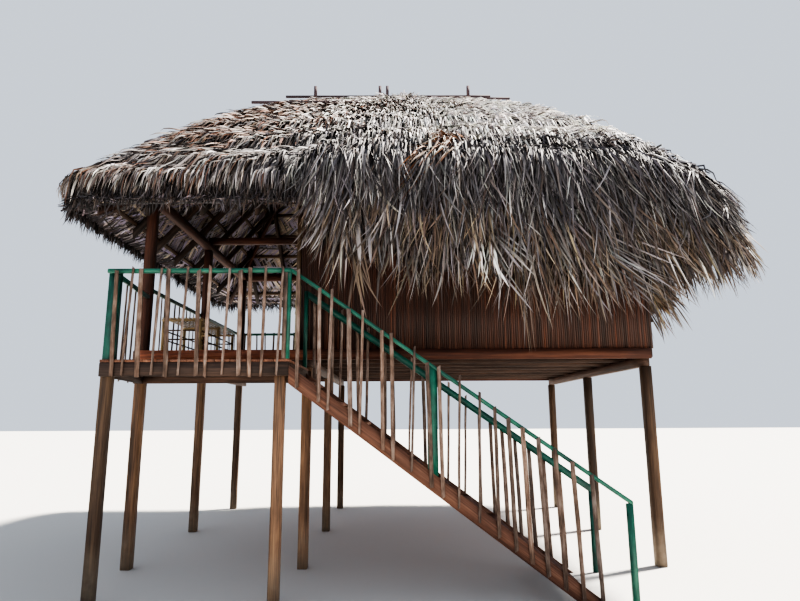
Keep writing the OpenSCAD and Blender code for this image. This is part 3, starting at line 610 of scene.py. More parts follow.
def reedWall(node, axis, seed, style=reedStyle):
    rng = np.random.default_rng(seed)
    x, y = Vector((1, 0, 0)), Vector((0, 1, 0))
    along, out = (x, y) if axis == 0 else (y, x)
    solids = nodeSolids(node)
    merged, corners = [], []
    for points, faces in solids:
        merged += [[len(corners) + i for i in face] for face in faces]
        corners += points
    tree = BVHTree.FromPolygons(corners, merged, epsilon=0.0)
    left, right = reachAlong(corners, along)
    back, front = reachAlong(corners, out)
    middle, thick = (back + front) / 2, front - back
    target = newTarget()
    for points, faces in solids:
        slim = [p + out * ((middle - p.dot(out)) * (1 - style["core"] / thick)) for p in points]
        addSolid(target, slim, faces, (style["coreTone"],) * 3 + (1,))
    tones, shares = zip(*style["tones"])
    wide = len(style["outline"])
    for side in (-1, 1):
        s = left
        while s < right - 0.5 * style["width"]:
            width = min(style["width"] * rng.uniform(*style["uneven"]), right - s)
            centre = s + width / 2
            s += width
            tone = tones[rng.choice(len(tones), p=shares)] * rng.uniform(0.8, 1.2)
            tint = warmTone(tone, rng.uniform(-0.1, 0.12))
            shift = rng.uniform(-50, 50, 3)
            for low, high in wallHeights(tree, along * centre + out * middle):
                count = max(1, round((high - low) / style["segment"]))
                start = len(target["points"])
                high -= rng.uniform(0, style["ragged"])
                for k in range(count + 1):
                    z = low + (high - low) * k / count
                    wander = rng.uniform(-1, 1) * style["wander"]
                    bulge = style["depth"] * rng.uniform(0.85, 1.0)
                    for u, v in style["outline"]:
                        lift = style["core"] / 2 + v * (bulge if v < 1 else style["depth"])
                        sideways = centre + u * width * style["fill"] + wander
                        place = along * sideways + out * (middle + side * lift)
                        grain = (z + shift[0], u * width + shift[1], v * 0.01 + shift[2])
                        addPoint(target, place + Vector((0, 0, z)), grain, tint)
                order = 1 if (side > 0) == (axis == 0) else -1
                for k in range(count):
                    for a in range(start + wide * k, start + wide * (k + 1) - 1):
                        target["faces"].append([a, a + 1, a + wide + 1, a + wide][::order])
                for ring in (start, start + wide * count):
                    target["faces"].append([ring + j for j in range(wide)])
    replaceNode(node, "_reeds", target, [reedSkin])


# Each wall with its long axis
walls = (("front_wall", 0), ("back_wall", 0), ("right_wall", 1), ("veranda_wall", 1))
for index, (node, axis) in enumerate(walls):
    reedWall(node, axis, 60 + index)
print("walls:", len(walls))

# Rails: painted boards and rough sticks nailed on the outside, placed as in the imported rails
railStyle = {
    "gap": 0.124,
    "stickWidth": 0.030,
    "stickDepth": 0.015,
    "railDepth": 0.040,
    "boardDepth": 0.040,
    "segment": 0.16,
    "wander": 0.0012,
    "skew": 0.012,           # of the sawn ends
    "round": 0.35,           # share of the sticks that are round
    "swell": 1.15,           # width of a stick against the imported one
    "below": 0.012,          # how far the sticks end above the foot of their beam
    "newels": {"landing": 0.03, "landingBare": 0.04, "middle": 0.09, "end": 0.055},
    "middleAt": 0.42,        # place of the middle newel along the stair
    "bareTone": (0.6, 0.7),
}
railPlaces = {
    "landingFront": -3.24535, "landingBack": -3.20535, "landingLeft": -2.815, "landingRight": -1.135,
    "landingTop": 2.05, "landingRailTop": 2.88, "beamLow": 1.9,
    "edgeFar": (-2.97, -2.01035), "edgeNear": (-2.815, -3.11535),
    "houseLeft": -3.03, "houseFront": -2.01035, "houseBack": 2.17965,
    "verandaRailTop": 3.02, "floor": 2.26, "edgeDepth": 0.11, "wallLeft": -1.24,
    "stairRear": -2.17035, "stringTop": 1.99, "stringDepth": 0.16, "fall": 0.186364 / 0.254,
    "newel": 2.915, "newelHeight": 0.86,
}


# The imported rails' own unevenness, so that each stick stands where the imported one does
def jitter(i, k):
    return math.sin(math.radians(i * 137.5 + k * 61.3 + i * i * 7.1))


def boxSolid(low, high):
    xs, ys, zs = zip(low, high)
    points = [Vector((x, y, z)) for z in zs for y in ys for x in xs]
    return points, [[0, 2, 3, 1], [4, 5, 7, 6], [0, 1, 5, 4], [2, 6, 7, 3], [0, 4, 6, 2], [1, 3, 7, 5]]


# A flat outline in x and z, drawn from y0 to y1
def slabSolid(outline, y0, y1):
    n = len(outline)
    points = [Vector((x, y, z)) for y in (y0, y1) for x, z in outline]
    sides = [[i, i + n, (i + 1) % n + n, (i + 1) % n] for i in range(n)]
    return points, [list(range(n)), list(range(2 * n - 1, n - 1, -1))] + sides


# An upright slab from start to end in x, between a line below and a line above
def newelSolid(start, end, lowAt, highAt, y0, y1):
    inset = 0.001
    outline = [(start, lowAt(start)), (end, lowAt(end)), (end, highAt(end)), (start, highAt(start))]
    return slabSolid(outline, y0 + inset, y1 - inset)


# Sticks along x from 0 to run on the side that faces -y. Their feet and heads fall along the run.
def roughSticks(target, matrix, run, gap, foot, head, fallLow, fallHigh, key, rng, style=railStyle):
    count = max(2, math.floor(run / gap + 0.5))
    depth = style["stickDepth"]
    for i in range(count):
        x = (i + 0.5 + 0.22 * jitter(i, key)) * run / count
        width = style["stickWidth"] * (1 + 0.3 * jitter(i, key + 1))
        low = max(style["stickWidth"], foot - fallLow * x - 0.012 * (1 + jitter(i, key + 2)))
        length = head - fallHigh * x + 0.022 * jitter(i, key + 3) - low
        lean = math.radians(2 * jitter(i, key + 4))
        isRound = rng.random() < style["round"]
        sides = 8 if isRound else 6
        turn = rng.uniform(0, math.pi)
        knots = max(3, round(length / style["segment"]))
        tone, warm = rng.uniform(0.6, 1.15), rng.uniform(-0.06, 0.06)
        shift = rng.uniform(-50, 50, 3)
        start = len(target["points"])
        skew = rng.uniform(-style["skew"], style["skew"])
        wave = rng.uniform(0, 2 * math.pi, 2)
        for k in range(knots + 1):
            s = length * k / knots
            swing = style["wander"] * (math.sin(7 * s + wave[0]) + 0.6 * math.sin(17 * s + wave[1]))
            isEnd = k in (0, knots)
            size = rng.uniform(0.95, 1.05) * (0.92 if isEnd else 1)
            for j in range(sides):
                angle = 2 * math.pi * j / sides + (turn if isRound else 0.5)
                bulge = rng.uniform(0.94, 1.04)
                u = math.cos(angle) * width / 2 * size * bulge * style["swell"]
                v = math.sin(angle) * depth / 2 * min(1, size * bulge)
                z = s + (skew * math.cos(angle) if isEnd else 0)
                y = max(-depth, min(-0.0005, v - depth / 2))
                place = matrix @ Vector((x + math.sin(lean) * s + u + swing, y, low + z))
                addPoint(target, place, (s + shift[0], u + shift[1], v + shift[2]), warmTone(tone, warm))
        addTubeFaces(target, start, knots + 1, sides)


def makeRail(node, boards, paint, sticks, seed, bare=()):
    rng = np.random.default_rng(seed)
    target = newTarget()
    for solid in boards:
        roughSolid(target, *solid, timberStyle, rng)
    replaceNode(node, "_boards", target, [paint])
    target = newTarget()
    for solid in bare:
        roughSolid(target, *solid, dict(timberStyle, tone=railStyle["bareTone"]), rng)
    roughSticks(target, *sticks, rng)
    replaceNode(node, "_sticks", target, [stickWood])


def turnedTo(x, y, degrees):
    return Matrix.Translation((x, y, 0)) @ Matrix.Rotation(math.radians(degrees), 4, "Z")


def landingRails(p, style):
    edge, width, newels = style["boardDepth"], style["stickWidth"], style["newels"]
    left, right, front, back = p["landingLeft"], p["landingRight"], p["landingFront"], p["landingBack"]
    foot, top = p["beamLow"] + style["below"], p["landingRailTop"]
    under, middle = top - style["railDepth"], right - newels["landing"]
    boards = [boxSolid((left, front, under), (right, back, top)),
              boxSolid((middle, front, p["landingTop"]), (right, back, under))]
    bare = boxSolid((middle - newels["landingBare"], front, p["landingTop"]), (middle, back, under))
    sticks = (Matrix.Translation((left + width, front, 0)), right - left - 2 * width, style["gap"],
              foot, top, 0, 0, 1)
    makeRail("landing_rail_front", boards, greenPaint, sticks, 80, [bare])

    far, near = Vector(p["edgeFar"]), Vector(p["edgeNear"])
    outline = [far, near, near + Vector((edge, 0)), far + Vector((edge, 0))]
    points = [Vector((c.x, c.y, z)) for z in (under, top) for c in outline]
    sides = [[i, (i + 1) % 4, (i + 1) % 4 + 4, i + 4] for i in range(4)]
    board = (points, [[3, 2, 1, 0], [4, 5, 6, 7]] + sides)
    turn = math.degrees(math.atan2(near.y - far.y, near.x - far.x))
    matrix = turnedTo(far.x, far.y, turn) @ Matrix.Translation((width, 0, 0))
    sticks = (matrix, (near - far).length - 3 * width, 1.2 * style["gap"], foot, top, 0, 0, 7)
    makeRail("landing_rail_left", [board], darkGreenPaint, sticks, 81)


def verandaRails(p, style):
    edge, width = style["boardDepth"], style["stickWidth"]
    left, right, front, back = p["houseLeft"], p["wallLeft"], p["houseFront"], p["houseBack"]
    foot, top = p["floor"] - p["edgeDepth"] + style["below"], p["verandaRailTop"]
    under = top - style["railDepth"]
    board = boxSolid((left - edge, front, under), (left, back, top))
    sticks = (turnedTo(left - edge, back - width, -90), back - front - 2 * width, 1.2 * style["gap"],
              foot, top, 0, 0, 3)
    makeRail("veranda_rail_left", [board], darkGreenPaint, sticks, 82)

    board = boxSolid((left - edge, back, under), (right, back + edge, top))
    sticks = (turnedTo(right - width, back + edge, 180), right - left - 2 * width, style["gap"],
              foot, top, 0, 0, 5)
    makeRail("veranda_rail_back", [board], greenPaint, sticks, 83)


def stairRail(node, p, style, y0, rail, paint, key, isRear):
    edge, width, newels = style["boardDepth"], style["stickWidth"], style["newels"]
    start, end, top, y1 = p["landingRight"], p["landingRight"] + p["newel"], p["landingRailTop"], y0 + edge
    slope = (top - p["newelHeight"]) / p["newel"]
    last = end + newels["end"]

    def railAt(x):
        return top - slope * (x - start)

    def stringAt(x):
        return p["stringTop"] - p["fall"] * (x - start)

    outline = [(start, top), (start, top - rail), (last, railAt(last) - rail), (last, railAt(last))]
    boards = [slabSolid(outline, y0, y1),
              newelSolid(end, last, lambda x: 0, lambda x: railAt(last) - rail / 2, y0, y1)]
    if isRear:
        boards.append(boxSolid((start - edge, y0, p["landingTop"]), (start, y1, top)))
        matrix = Matrix.Translation((start + width, y1, 0)) @ Matrix.Scale(-1, 4, (0, 1, 0))
    else:
        middle = start + style["middleAt"] * p["newel"]
        boards.append(newelSolid(middle, middle + newels["middle"], stringAt,
                                 lambda x: railAt(x) - rail / 2, y0, y1))
        matrix = Matrix.Translation((start + width, y0, 0))
    foot = p["stringTop"] - p["stringDepth"] + 0.02
    sticks = (matrix, p["newel"] - 8 * width, 1.15 * style["gap"], foot, top, p["fall"], slope, key)
    makeRail(node, boards, paint, sticks, 84 + key)


landingRails(railPlaces, railStyle)
verandaRails(railPlaces, railStyle)
stairRail("stair_rail_front", railPlaces, railStyle, railPlaces["landingFront"], railStyle["railDepth"],
          greenPaint, 11, False)
stairRail("stair_rail_rear", railPlaces, railStyle, railPlaces["stairRear"] - railStyle["boardDepth"],
          2 * railStyle["railDepth"], darkGreenPaint, 17, True)
print("rails: 6")


# Places along a bamboo with their swell, from low to high, with a ring at each joint
def bambooRings(low, high, first, style, rng):
    rings, s = [(low, 0.0)], first
    while s < high - style["lastJoint"]:
        rings += [(s + place, swell) for place, swell in style["rings"]]
        s += style["joint"] * rng.uniform(0.85, 1.1)
    rings.append((high, 0.0))
    return [r for i, r in enumerate(rings) if i == 0 or r[0] > rings[i - 1][0]]


# Bamboo pole at the corner of the room
poleStyle = {
    "radius": 0.038, "inset": 0.0045, "ring": 0.0035, "sides": 28, "joint": 0.31,
    "firstJoint": 0.12, "lastJoint": 0.05,
    "rings": ((-0.1, 0.0), (-0.012, 0.0), (-0.004, 1.0), (0, -0.3), (0.005, 1.0), (0.014, 0.0)),
    "shadedFrom": 2.95, "shadeFade": 0.1,
    "shadedTint": (0.14, 0.1, 0.08),     # painted shade: how much its colour is darkened above that height, in the dark under the roof
}


def bambooPole(node, style=poleStyle):
    low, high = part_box(node)
    centre = (low + high) / 2
    rng = np.random.default_rng(70)
    target = newTarget()
    rings = bambooRings(low.z, high.z, low.z + style["firstJoint"], style, rng)
    base = style["radius"] - style["inset"]
    for z, swell in rings:
        radius = base + style["ring"] * swell
        # Above that height the pole is drawn darker: painted shade
        fresh = min(1, max(0, (style["shadedFrom"] + style["shadeFade"] - z) / style["shadeFade"]))
        tint = tuple(dark + (1 - dark) * fresh for dark in style["shadedTint"]) + (1,)
        for j in range(style["sides"]):
            angle = 2 * math.pi * j / style["sides"]
            x, y = math.cos(angle), math.sin(angle)
            addPoint(target, (centre.x + radius * x, centre.y + radius * y, z), (z, x * base, y * base), tint)
    addTubeFaces(target, 0, len(rings), style["sides"])
    replaceNode(node, "_bamboo", target, [bambooSkin], True)


bambooPole("corner_pole")

# Thatch. A roof place is (u, v): u counts the sides and corners round the roof, v is the distance
# in metres from the ridge down the slope, over the edge and down the hanging leaves.
roof = {
    "left": -2.98, "right": 2.56, "front": -1.96035, "back": 2.12965,
    "run": 1.49, "bay": 2.045, "plateTop": 4.08, "rise": 1.72, "lining": 0.1653,
    "thick": 0.5, "crown": 0.15, "eave": 0.46, "top": 0.93,
    "eaveRound": 0.24, "topRound": 0.04, "soffitHeight": 3.7209, "ridgeTop": 6.39,
    "hemFront": 2.72, "hemEnd": 3.16,
    "rows": 60,                                 # from the ridge to the edge
    "ridgeReach": 0.035,                        # share of the slope over which it rises to the ridge
    "skirtFrom": 0.365, "skirtFull": 0.425,     # u on the front where the hanging leaves begin
    # The shoulder raises the edge along the room: by how much, how far up the slope and on what curve,
    # and its share by u
    "shoulder": 0.215, "shoulderReach": 0.36, "shoulderCurve": 1.3,
    "shoulderAt": ((0, 0.334, 0.419, 0.913, 1.0), (0, 0, 1, 1, 0)),
    # The leaves have sunk over the corners, by v, most at these u and fading over so many u
    "sinkRoom": ((1.2, 3.0, 4.4), (0, 0.12, 0.17)), "sinkRoomAt": (1.45, 0.5),
    "sinkOpen": ((0.8, 2.6, 3.4, 4.0), (0, 0.1, 0.12, 0.03)), "sinkOpenAt": ((7.5, 0.6), (5.5, 0.6)),
    # At the room's end they lie closer to the house, by v and by x
    "drawnIn": 0.09, "drawnFrom": ((2.0, 3.9), (0, 1)), "drawnAcross": ((1.6, 3.0), (0, 1)),
}


def thatchIn(q):
    return roof["plateTop"] + q * roof["rise"] + roof["lining"]


def thatchOut(q):
    bulge = np.sin(np.pi * (q + roof["eave"]) / (roof["top"] + roof["eave"]))
    return thatchIn(q) + roof["thick"] + roof["crown"] * bulge


def profileTable(rows):
    rows = np.array(rows, float)
    steps = np.hypot(np.diff(rows[:, 1]), np.diff(rows[:, 5]))
    return np.concatenate([[0], np.cumsum(steps)]), rows


# Rows of reach at the end and in front, corner radius at both, height at the end and in front,
# and the height that the shoulder adds
def slopeRows():
    rows = []
    for q in np.linspace(1, -roof["eave"], roof["rows"]):
        share = (min(q, roof["top"]) + roof["eave"]) / (roof["top"] + roof["eave"])
        turn = min(roof["eaveRound"] + (roof["topRound"] - roof["eaveRound"]) * share, 0.6 * (1 - q) + 0.002)
        z = thatchOut(min(q, roof["top"])) + 0.02
        if q > roof["top"]:
            z += (roof["ridgeTop"] - z) * min(1, (q - roof["top"]) / roof["ridgeReach"])
        down = roof["shoulderReach"] - roof["eave"] - q
        swell = max(0, down / roof["shoulderReach"]) ** roof["shoulderCurve"]
        rows.append((-q * roof["run"], -q * roof["bay"], turn * roof["run"], turn * roof["bay"], z, z,
                     swell * roof["shoulder"]))
    return rows


# Rows past the edge: metres outwards at the end and in front, and the heights at both
def edgeRows(points):
    x, y, roundX, roundY = slopeRows()[-1][:4]
    return [(x + a, y + b, roundX + a, roundY + b, c, d, roof["shoulder"] * max(0, 1 - (edgeTop - d) / 0.5))
            for a, b, c, d in points]


edgeTop = float(thatchOut(-roof["eave"]))
bareTable = profileTable(slopeRows() + edgeRows([
    (0.0, 0.01, edgeTop - 0.08, edgeTop - 0.08), (-0.02, 0.0, edgeTop - 0.24, edgeTop - 0.24),
    (-0.05, -0.04, edgeTop - 0.6, edgeTop - 0.6), (-0.08, -0.08, edgeTop - 1.2, edgeTop - 1.2)]))
skirtTable = profileTable(slopeRows() + edgeRows([
    (0.05, 0.06, edgeTop - 0.05, edgeTop - 0.04), (0.13, 0.12, edgeTop - 0.17, edgeTop - 0.14),
    (0.22, 0.16, edgeTop - 0.34, edgeTop - 0.32),
    (0.33, 0.19, roof["hemEnd"] + 0.24, roof["hemFront"] + 0.6),
    (0.40, 0.20, roof["hemEnd"], roof["hemFront"] + 0.25),
    (0.42, 0.19, roof["hemEnd"] - 0.2, roof["hemFront"]),
    (0.43, 0.16, roof["hemEnd"] - 0.7, roof["hemFront"] - 0.6)]))
eaveV = float(bareTable[0][roof["rows"] - 1])


# The back of the room's roof is like its front: u there as the u of the same place in front
def roomTurn(u):
    u = np.mod(u, 8.0)
    return np.where(u > 2.5, 5 - u, u)


def ringPlaces(u, ring):
    reachX, reachY, roundX, roundY, endZ, frontZ, swell = ring
    left, right = roof["left"] - reachX + roundX, roof["right"] + reachX - roundX
    front, back = roof["front"] - reachY + roundY, roof["back"] + reachY - roundY
    u = np.mod(u, 8.0)
    share = np.interp(roomTurn(u), *roof["shoulderAt"]) * (u < 5)
    side = np.floor(u).astype(int)
    t = u - side
    angle = np.where(np.isin(side, (1, 5)), 1 - t, t) * math.pi / 2
    sin, cos = np.sin(angle), np.cos(angle)
    cornerZ = endZ + (frontZ - endZ) * sin ** 2
    chosen = [side == i for i in range(8)]
    rightX, leftX, backY, frontY = (right + roundX * cos, left - roundX * cos,
                                    back + roundY * sin, front - roundY * sin)
    x = np.select(chosen, [left + (right - left) * t, rightX, right + roundX, rightX,
                           right + (left - right) * t, leftX, left - roundX, leftX])
    y = np.select(chosen, [front - roundY, frontY, front + (back - front) * t, backY,
                           back + roundY, backY, back + (front - back) * t, frontY])
    z = np.select(chosen, [frontZ, cornerZ, endZ, cornerZ, frontZ, cornerZ, endZ, cornerZ])
    return np.stack([x, y, z + swell * share], -1)


def tablePlaces(table, u, v):
    lengths, rows = table
    return ringPlaces(u, [np.interp(v, lengths, rows[:, i]) for i in range(7)])


# Share of the hanging leaves at u: none round the veranda, all round the room
def skirtShare(u):
    share = (roomTurn(u) - roof["skirtFrom"]) / (roof["skirtFull"] - roof["skirtFrom"])
    return np.where(np.mod(u, 8.0) > 5, 0, np.clip(share, 0, 1))


def sinkAt(u, v):
    turn = np.mod(u, 8.0)
    middle, fade = roof["sinkRoomAt"]
    room = np.exp(-((roomTurn(u) - middle) / fade) ** 2) * (turn < 5)
    (front, frontFade), (back, backFade) = roof["sinkOpenAt"]
    veranda = np.exp(-((np.where(turn < 2, turn + 8, turn) - front) / frontFade) ** 2)
    veranda = veranda + np.exp(-((turn - back) / backFade) ** 2)
    return room * np.interp(v, *roof["sinkRoom"]) + veranda * np.interp(v, *roof["sinkOpen"])


def roofPlaces(u, v):
    share = skirtShare(u)[..., None]
    place = tablePlaces(bareTable, u, v) * (1 - share) + tablePlaces(skirtTable, u, v) * share
    place[..., 2] -= sinkAt(u, v)
    drawn = np.interp(v, *roof["drawnFrom"]) * np.interp(place[..., 0], *roof["drawnAcross"])
    place[..., 0] -= roof["drawnIn"] * drawn
    return place


# Underside of the roof, v metres outwards from near the ridge, from rows of the share of the slope,
# the corner radius and the height
soffitTable = profileTable([
    (-q * roof["run"], -q * roof["bay"], turn * roof["run"], turn * roof["bay"], z, z, 0)
    for q, turn, z in ((0.93, 0.001, thatchIn(0.93)), (-0.1, 0.001, thatchIn(-0.1)),
                       (-0.27, 0.02, thatchIn(-0.27)), (-0.36, 0.14, 3.745), (-0.46, 0.24, 3.712),
                       (-0.49, 0.26, 3.66))])


def soffitPlaces(u, v):
    return tablePlaces(soffitTable, u, v)


def unit(vectors):
    return vectors / np.maximum(np.linalg.norm(vectors, axis=-1, keepdims=True), 1e-9)


# Places, outward normals, and the metres that a step in u and in v covers
def surfaceFrame(surface, u, v, under):
    stepU, stepV = 0.004, 0.01
    place = surface(u, v)
    alongU, alongV = surface(u + stepU, v) - place, surface(u, v + stepV) - place
    rateU = np.maximum(np.linalg.norm(alongU, axis=-1) / stepU, 0.15)
    rateV = np.maximum(np.linalg.norm(alongV, axis=-1) / stepV, 0.3)
    normal = unit(np.cross(alongV, alongU)) * (-1 if under else 1)
    return place, normal, rateU, rateV


# Places spread evenly along one row of the roof
def rowPlaces(surface, v, fromU, toU, spacing, rng):
    grid = np.linspace(fromU, toU, 160)
    line = surface(grid, np.full(160, v))
    reach = np.concatenate([[0], np.cumsum(np.linalg.norm(np.diff(line, axis=0), axis=1))])
    count = max(1, int(reach[-1] / spacing))
    return np.interp((np.arange(count) + rng.uniform(-0.5, 1.5, count)) / count * reach[-1], reach, grid)


# Dried, bleached and mouldy leaves, and those that were cut last. White is partly painted sun
# highlight, dark and slate partly painted shade, and ash, plum and mat painted light under the roof.
leafColors = {
    "white": "#f1eeea", "bleached": "#c5c1be", "silver": "#9a9696", "grey": "#6f6b6c", "umber": "#51443e",
    "straw": "#9a8b74", "tan": "#746254", "rust": "#7b5441", "dark": "#2b2828",
    "slate": "#4a474c", "ash": "#aea2a6", "plum": "#aca4be", "mat": "#c8b7a2",
    "amber": "#8a5933", "sienna": "#5f3d29",
}


def leafTones(mix, count, rng):
    names = list(mix)
    shares = np.array([mix[name] for name in names], float)
    picks = rng.choice(len(names), count, p=shares / shares.sum())
    palette = np.array([hexColor(leafColors[name])[:3] for name in names])
    return palette[picks] * np.exp(rng.normal(0, 0.22, (count, 1))) * np.exp(rng.normal(0, 0.03, (count, 3)))


# The thatch is laid in courses. Each rises towards its lower edge and drops over the next one.
courses = {
    "first": 0.5, "step": 0.65, "edge": 0.8, "fade": 0.35,
    "depth": ((0, 0.5, 1.8, 2.5, 3.9), (0, 0.015, 0.04, 0.11, 0.13)),
    "waves": ((0.07, 10, 2), (0.06, 26, 0), (0.04, 58, 1), (0.03, 114, 0)),     # metres, number round, phase
    "cornerFlat": 0.6,       # how much flatter they are over the corners
    "leftFlat": 0.7,         # and round the front left corner
}


def courseHeight(u, v):
    turn = u * math.pi / 4
    wave = sum(height * np.sin(number * turn + phase) for height, number, phase in courses["waves"])
    phase = np.mod((v + wave - courses["first"]) / courses["step"], 1)
    rise = np.where(phase < courses["edge"], phase / courses["edge"], (1 - phase) / (1 - courses["edge"]))
    fade = np.clip((eaveV + courses["fade"] - v) / courses["fade"], 0, 1)
    ends = 1 - courses["cornerFlat"] * np.abs(np.sin(2 * turn - math.pi / 4)) ** 4
    ends = ends * (1 - courses["leftFlat"] * np.exp(-((np.mod(u + 2.5, 8) - 1.5) / 1.1) ** 2))
    return rise * fade * ends * np.interp(v, *courses["depth"])


# The line of each leaf, and the roof's normal along it
def leafLines(surface, leaf, steps, under):
    u, v, heading = leaf["u"].copy(), leaf["v"].copy(), leaf["heading"].copy()
    centres, normals = np.empty((len(u), steps + 1, 3)), np.empty((len(u), steps + 1, 3))
    for k in range(steps + 1):
        place, normal, rateU, rateV = surfaceFrame(surface, u, v, under)
        t = k / steps
        rise = t ** leaf["power"] * (1 + leaf["nod"]) - leaf["nod"] * 1.4 * t ** 4
        height = -leaf["sink"] + (leaf["lift"] + leaf["sink"]) * rise
        if surface is roofPlaces:
            height = height + courseHeight(u, v + leaf["stagger"])
        centres[:, k] = place + normal * height[:, None]
        normals[:, k] = normal
        step = leaf["length"] / steps
        u += step * np.sin(heading) / rateU
        v += step * np.cos(heading) / rateV
        heading += leaf["curl"] / steps
    return centres, normals


# Brightness and colour along the leaves: darker at the root, with a share of another tone at the tip
def leafTints(leaf, s):
    toTip = np.clip(s * 1.35 - 0.35, 0, 1) * leaf["tipShare"][:, None, None]
    tint = leaf["tone"][:, None, :] * (leaf["rootShade"] + (1 - leaf["rootShade"]) * np.minimum(1, s * 1.8))
    tint = tint * (1 - toTip) + leaf["tipTone"][:, None, :] * toTip
    return np.concatenate([tint, np.ones_like(tint[..., :1])], -1)


# Many leaves at once, in segments. Most values of leaf are arrays with one number a leaf.
def growLeaves(batch, surface, leaf, steps, folded, under=False):
    count = len(leaf["u"])
    centres, normals = leafLines(surface, leaf, steps, under)
    s = np.linspace(0, 1, steps + 1)
    centres[:, :, 2] -= leaf["droop"][:, None] * s ** 2
    tangent = unit(np.gradient(centres, axis=1))
    side = unit(np.cross(tangent, normals))
    up = np.cross(side, tangent)
    roll = (leaf["roll"][:, None] + leaf["twist"][:, None] * s)[..., None]
    side, up = side * np.cos(roll) + up * np.sin(roll), up * np.cos(roll) - side * np.sin(roll)
    # Narrow at the root, full after a fifth of the length, and more or less pointed at the tip
    taper = np.minimum(1, 0.55 + 2.2 * s) * (1 - s[None, :] ** leaf["blunt"][:, None])
    half = (leaf["width"][:, None] * taper / 2)[..., None]
    fold = (leaf["fold"][:, None] * np.ones(steps + 1))[..., None]
    rows = [centres - side * half - up * half * fold, centres, centres + side * half - up * half * fold]
    across = [-0.5, 0, 0.5]
    if not folded:
        rows, across = rows[::2], across[::2]
    wide = len(rows)
    points = np.concatenate([np.stack(rows, 2)[:, :-1].reshape(count, -1, 3), centres[:, -1:]], 1)
    s = np.concatenate([np.repeat(s[:-1], wide), s[-1:]])
    grainS = s * leaf["length"][:, None]
    grainT = np.concatenate([np.tile(across, steps), [0]]) * leaf["width"][:, None]
    offset = leaf["offset"][:, None] * np.ones_like(grainS)
    grain = np.stack([grainS + offset, grainT + offset * 0.37, offset * 0.11], -1)
    base = []
    for k in range(steps - 1):
        for a in range(k * wide, (k + 1) * wide - 1):
            base.append([a, a + 1, a + 1 + wide, a + wide])
    tips = [[a, a + 1, steps * wide] for a in range((steps - 1) * wide, steps * wide - 1)]
    size = points.shape[1]
    starts = batch["count"] + size * np.arange(count)[:, None, None]
    batch["points"].append(points.reshape(-1, 3))
    batch["grain"].append(grain.reshape(-1, 3))
    batch["tint"].append(leafTints(leaf, s[None, :, None]).reshape(-1, 4))
    batch["quads"].append((starts + np.array(base)[None]).reshape(-1, 4))
    batch["triangles"].append((starts + np.array(tips)[None]).reshape(-1, 3))
    batch["count"] += size * count
    batch["total"] += count * (2 * len(base) + len(tips))


def newBatch():
    return {"points": [], "grain": [], "tint": [], "quads": [], "triangles": [], "count": 0, "total": 0}


def meshFromBatch(name, batch):
    margin = 0.002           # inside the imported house's box
    points = np.clip(np.concatenate(batch["points"]), np.array(cadLow) + margin, np.array(cadHigh) - margin)
    layers = {"grain": ("FLOAT_VECTOR", np.concatenate(batch["grain"])),
              "tint": ("FLOAT_COLOR", np.concatenate(batch["tint"]))}
    faces = [np.concatenate(batch["quads"]), np.concatenate(batch["triangles"])]
    return meshFromArrays(name, points, faces, [leafBlade], layers)


# Leaves side by side in a row form a lock. Gives each leaf's lock and its rank in it, from -0.5 to 0.5.
def leafLocks(u, v, size):
    n = len(u)
    order = np.argsort(v * 1000 + u)
    rowStart = np.concatenate([[True], np.diff(u[order]) < 0])
    place = (np.arange(n) - np.maximum.accumulate(np.where(rowStart, np.arange(n), 0))) % size
    lock, rank = np.empty(n, int), np.empty(n)
    lock[order] = np.cumsum(place == 0) - 1
    rank[order] = place / size - 0.5
    return lock, rank


# One set of leaf values; a style gives the middle and the spread of each
def leafValues(u, v, style, rng, zone):
    n = len(u)
    lock, rank = leafLocks(u, v, style["lock"])
    locks = lock.max() + 1
    middle = np.bincount(lock, u, locks) / np.bincount(lock, minlength=locks)
    u = u + (middle[lock] - u) * style.get("gather", 0.0)
    shared = {key: rng.normal(0, 1, locks)[lock]
              for key in ("heading", "lift", "curl", "tone", "length", "v")}
    v = v + 0.6 * style["scatter"] * shared["v"]
    lean = (style["lean"](u, v) if "lean" in style else 0) + style.get("fan", 0.0) * rank
    tone = leafTones(zone["mix"], n, rng) * np.exp(0.12 * shared["tone"][:, None])
    return {
        "u": u, "v": v + rng.normal(0, style["scatter"], n),
        "length": np.clip(
            style["length"] * (1 + 0.12 * shared["length"] + rng.normal(0, 0.16, n)), 0.12, 1.6),
        "heading": lean + style["spread"] * (0.75 * shared["heading"] + 0.65 * rng.normal(0, 1, n)),
        "curl": style["curl"] * (0.6 * shared["curl"] + 0.8 * rng.normal(0, 1, n)),
        "sink": np.full(n, style["sink"]),
        "lift": style["lift"] + style["liftSpread"] * np.clip(
            0.5 * shared["lift"] + 0.8 * rng.normal(0, 1, n), -1.3, 2.6),
        "stagger": 0.05 * shared["curl"] + 0.03 * rng.normal(0, 1, n),
        "power": style.get("power", 1.3),
        "nod": style.get("nod", 0.0),      # how far the end bends back to the roof
        "droop": style.get("droop", 0.0) * rng.uniform(0, 1, n),
        "width": style["width"] * rng.uniform(0.65, 1.35, n),
        "fold": rng.uniform(*style["fold"], n),
        "roll": rng.normal(0, style["roll"], n),
        "twist": rng.normal(0, style["twist"], n),
        "blunt": rng.uniform(*style.get("blunt", (1.8, 5.0)), n),
        "offset": rng.uniform(-80, 80, n),
        "tone": tone,
        "tipTone": leafTones(zone["tips"], n, rng),
        "tipShare": rng.uniform(0.2, 1.0, n) * zone["tipShare"],
        "rootShade": zone["rootShade"],
    }


def pickLeaves(leaf, mask):
    return {k: (x[mask] if isinstance(x, np.ndarray) and len(x) == len(mask) else x) for k, x in leaf.items()}
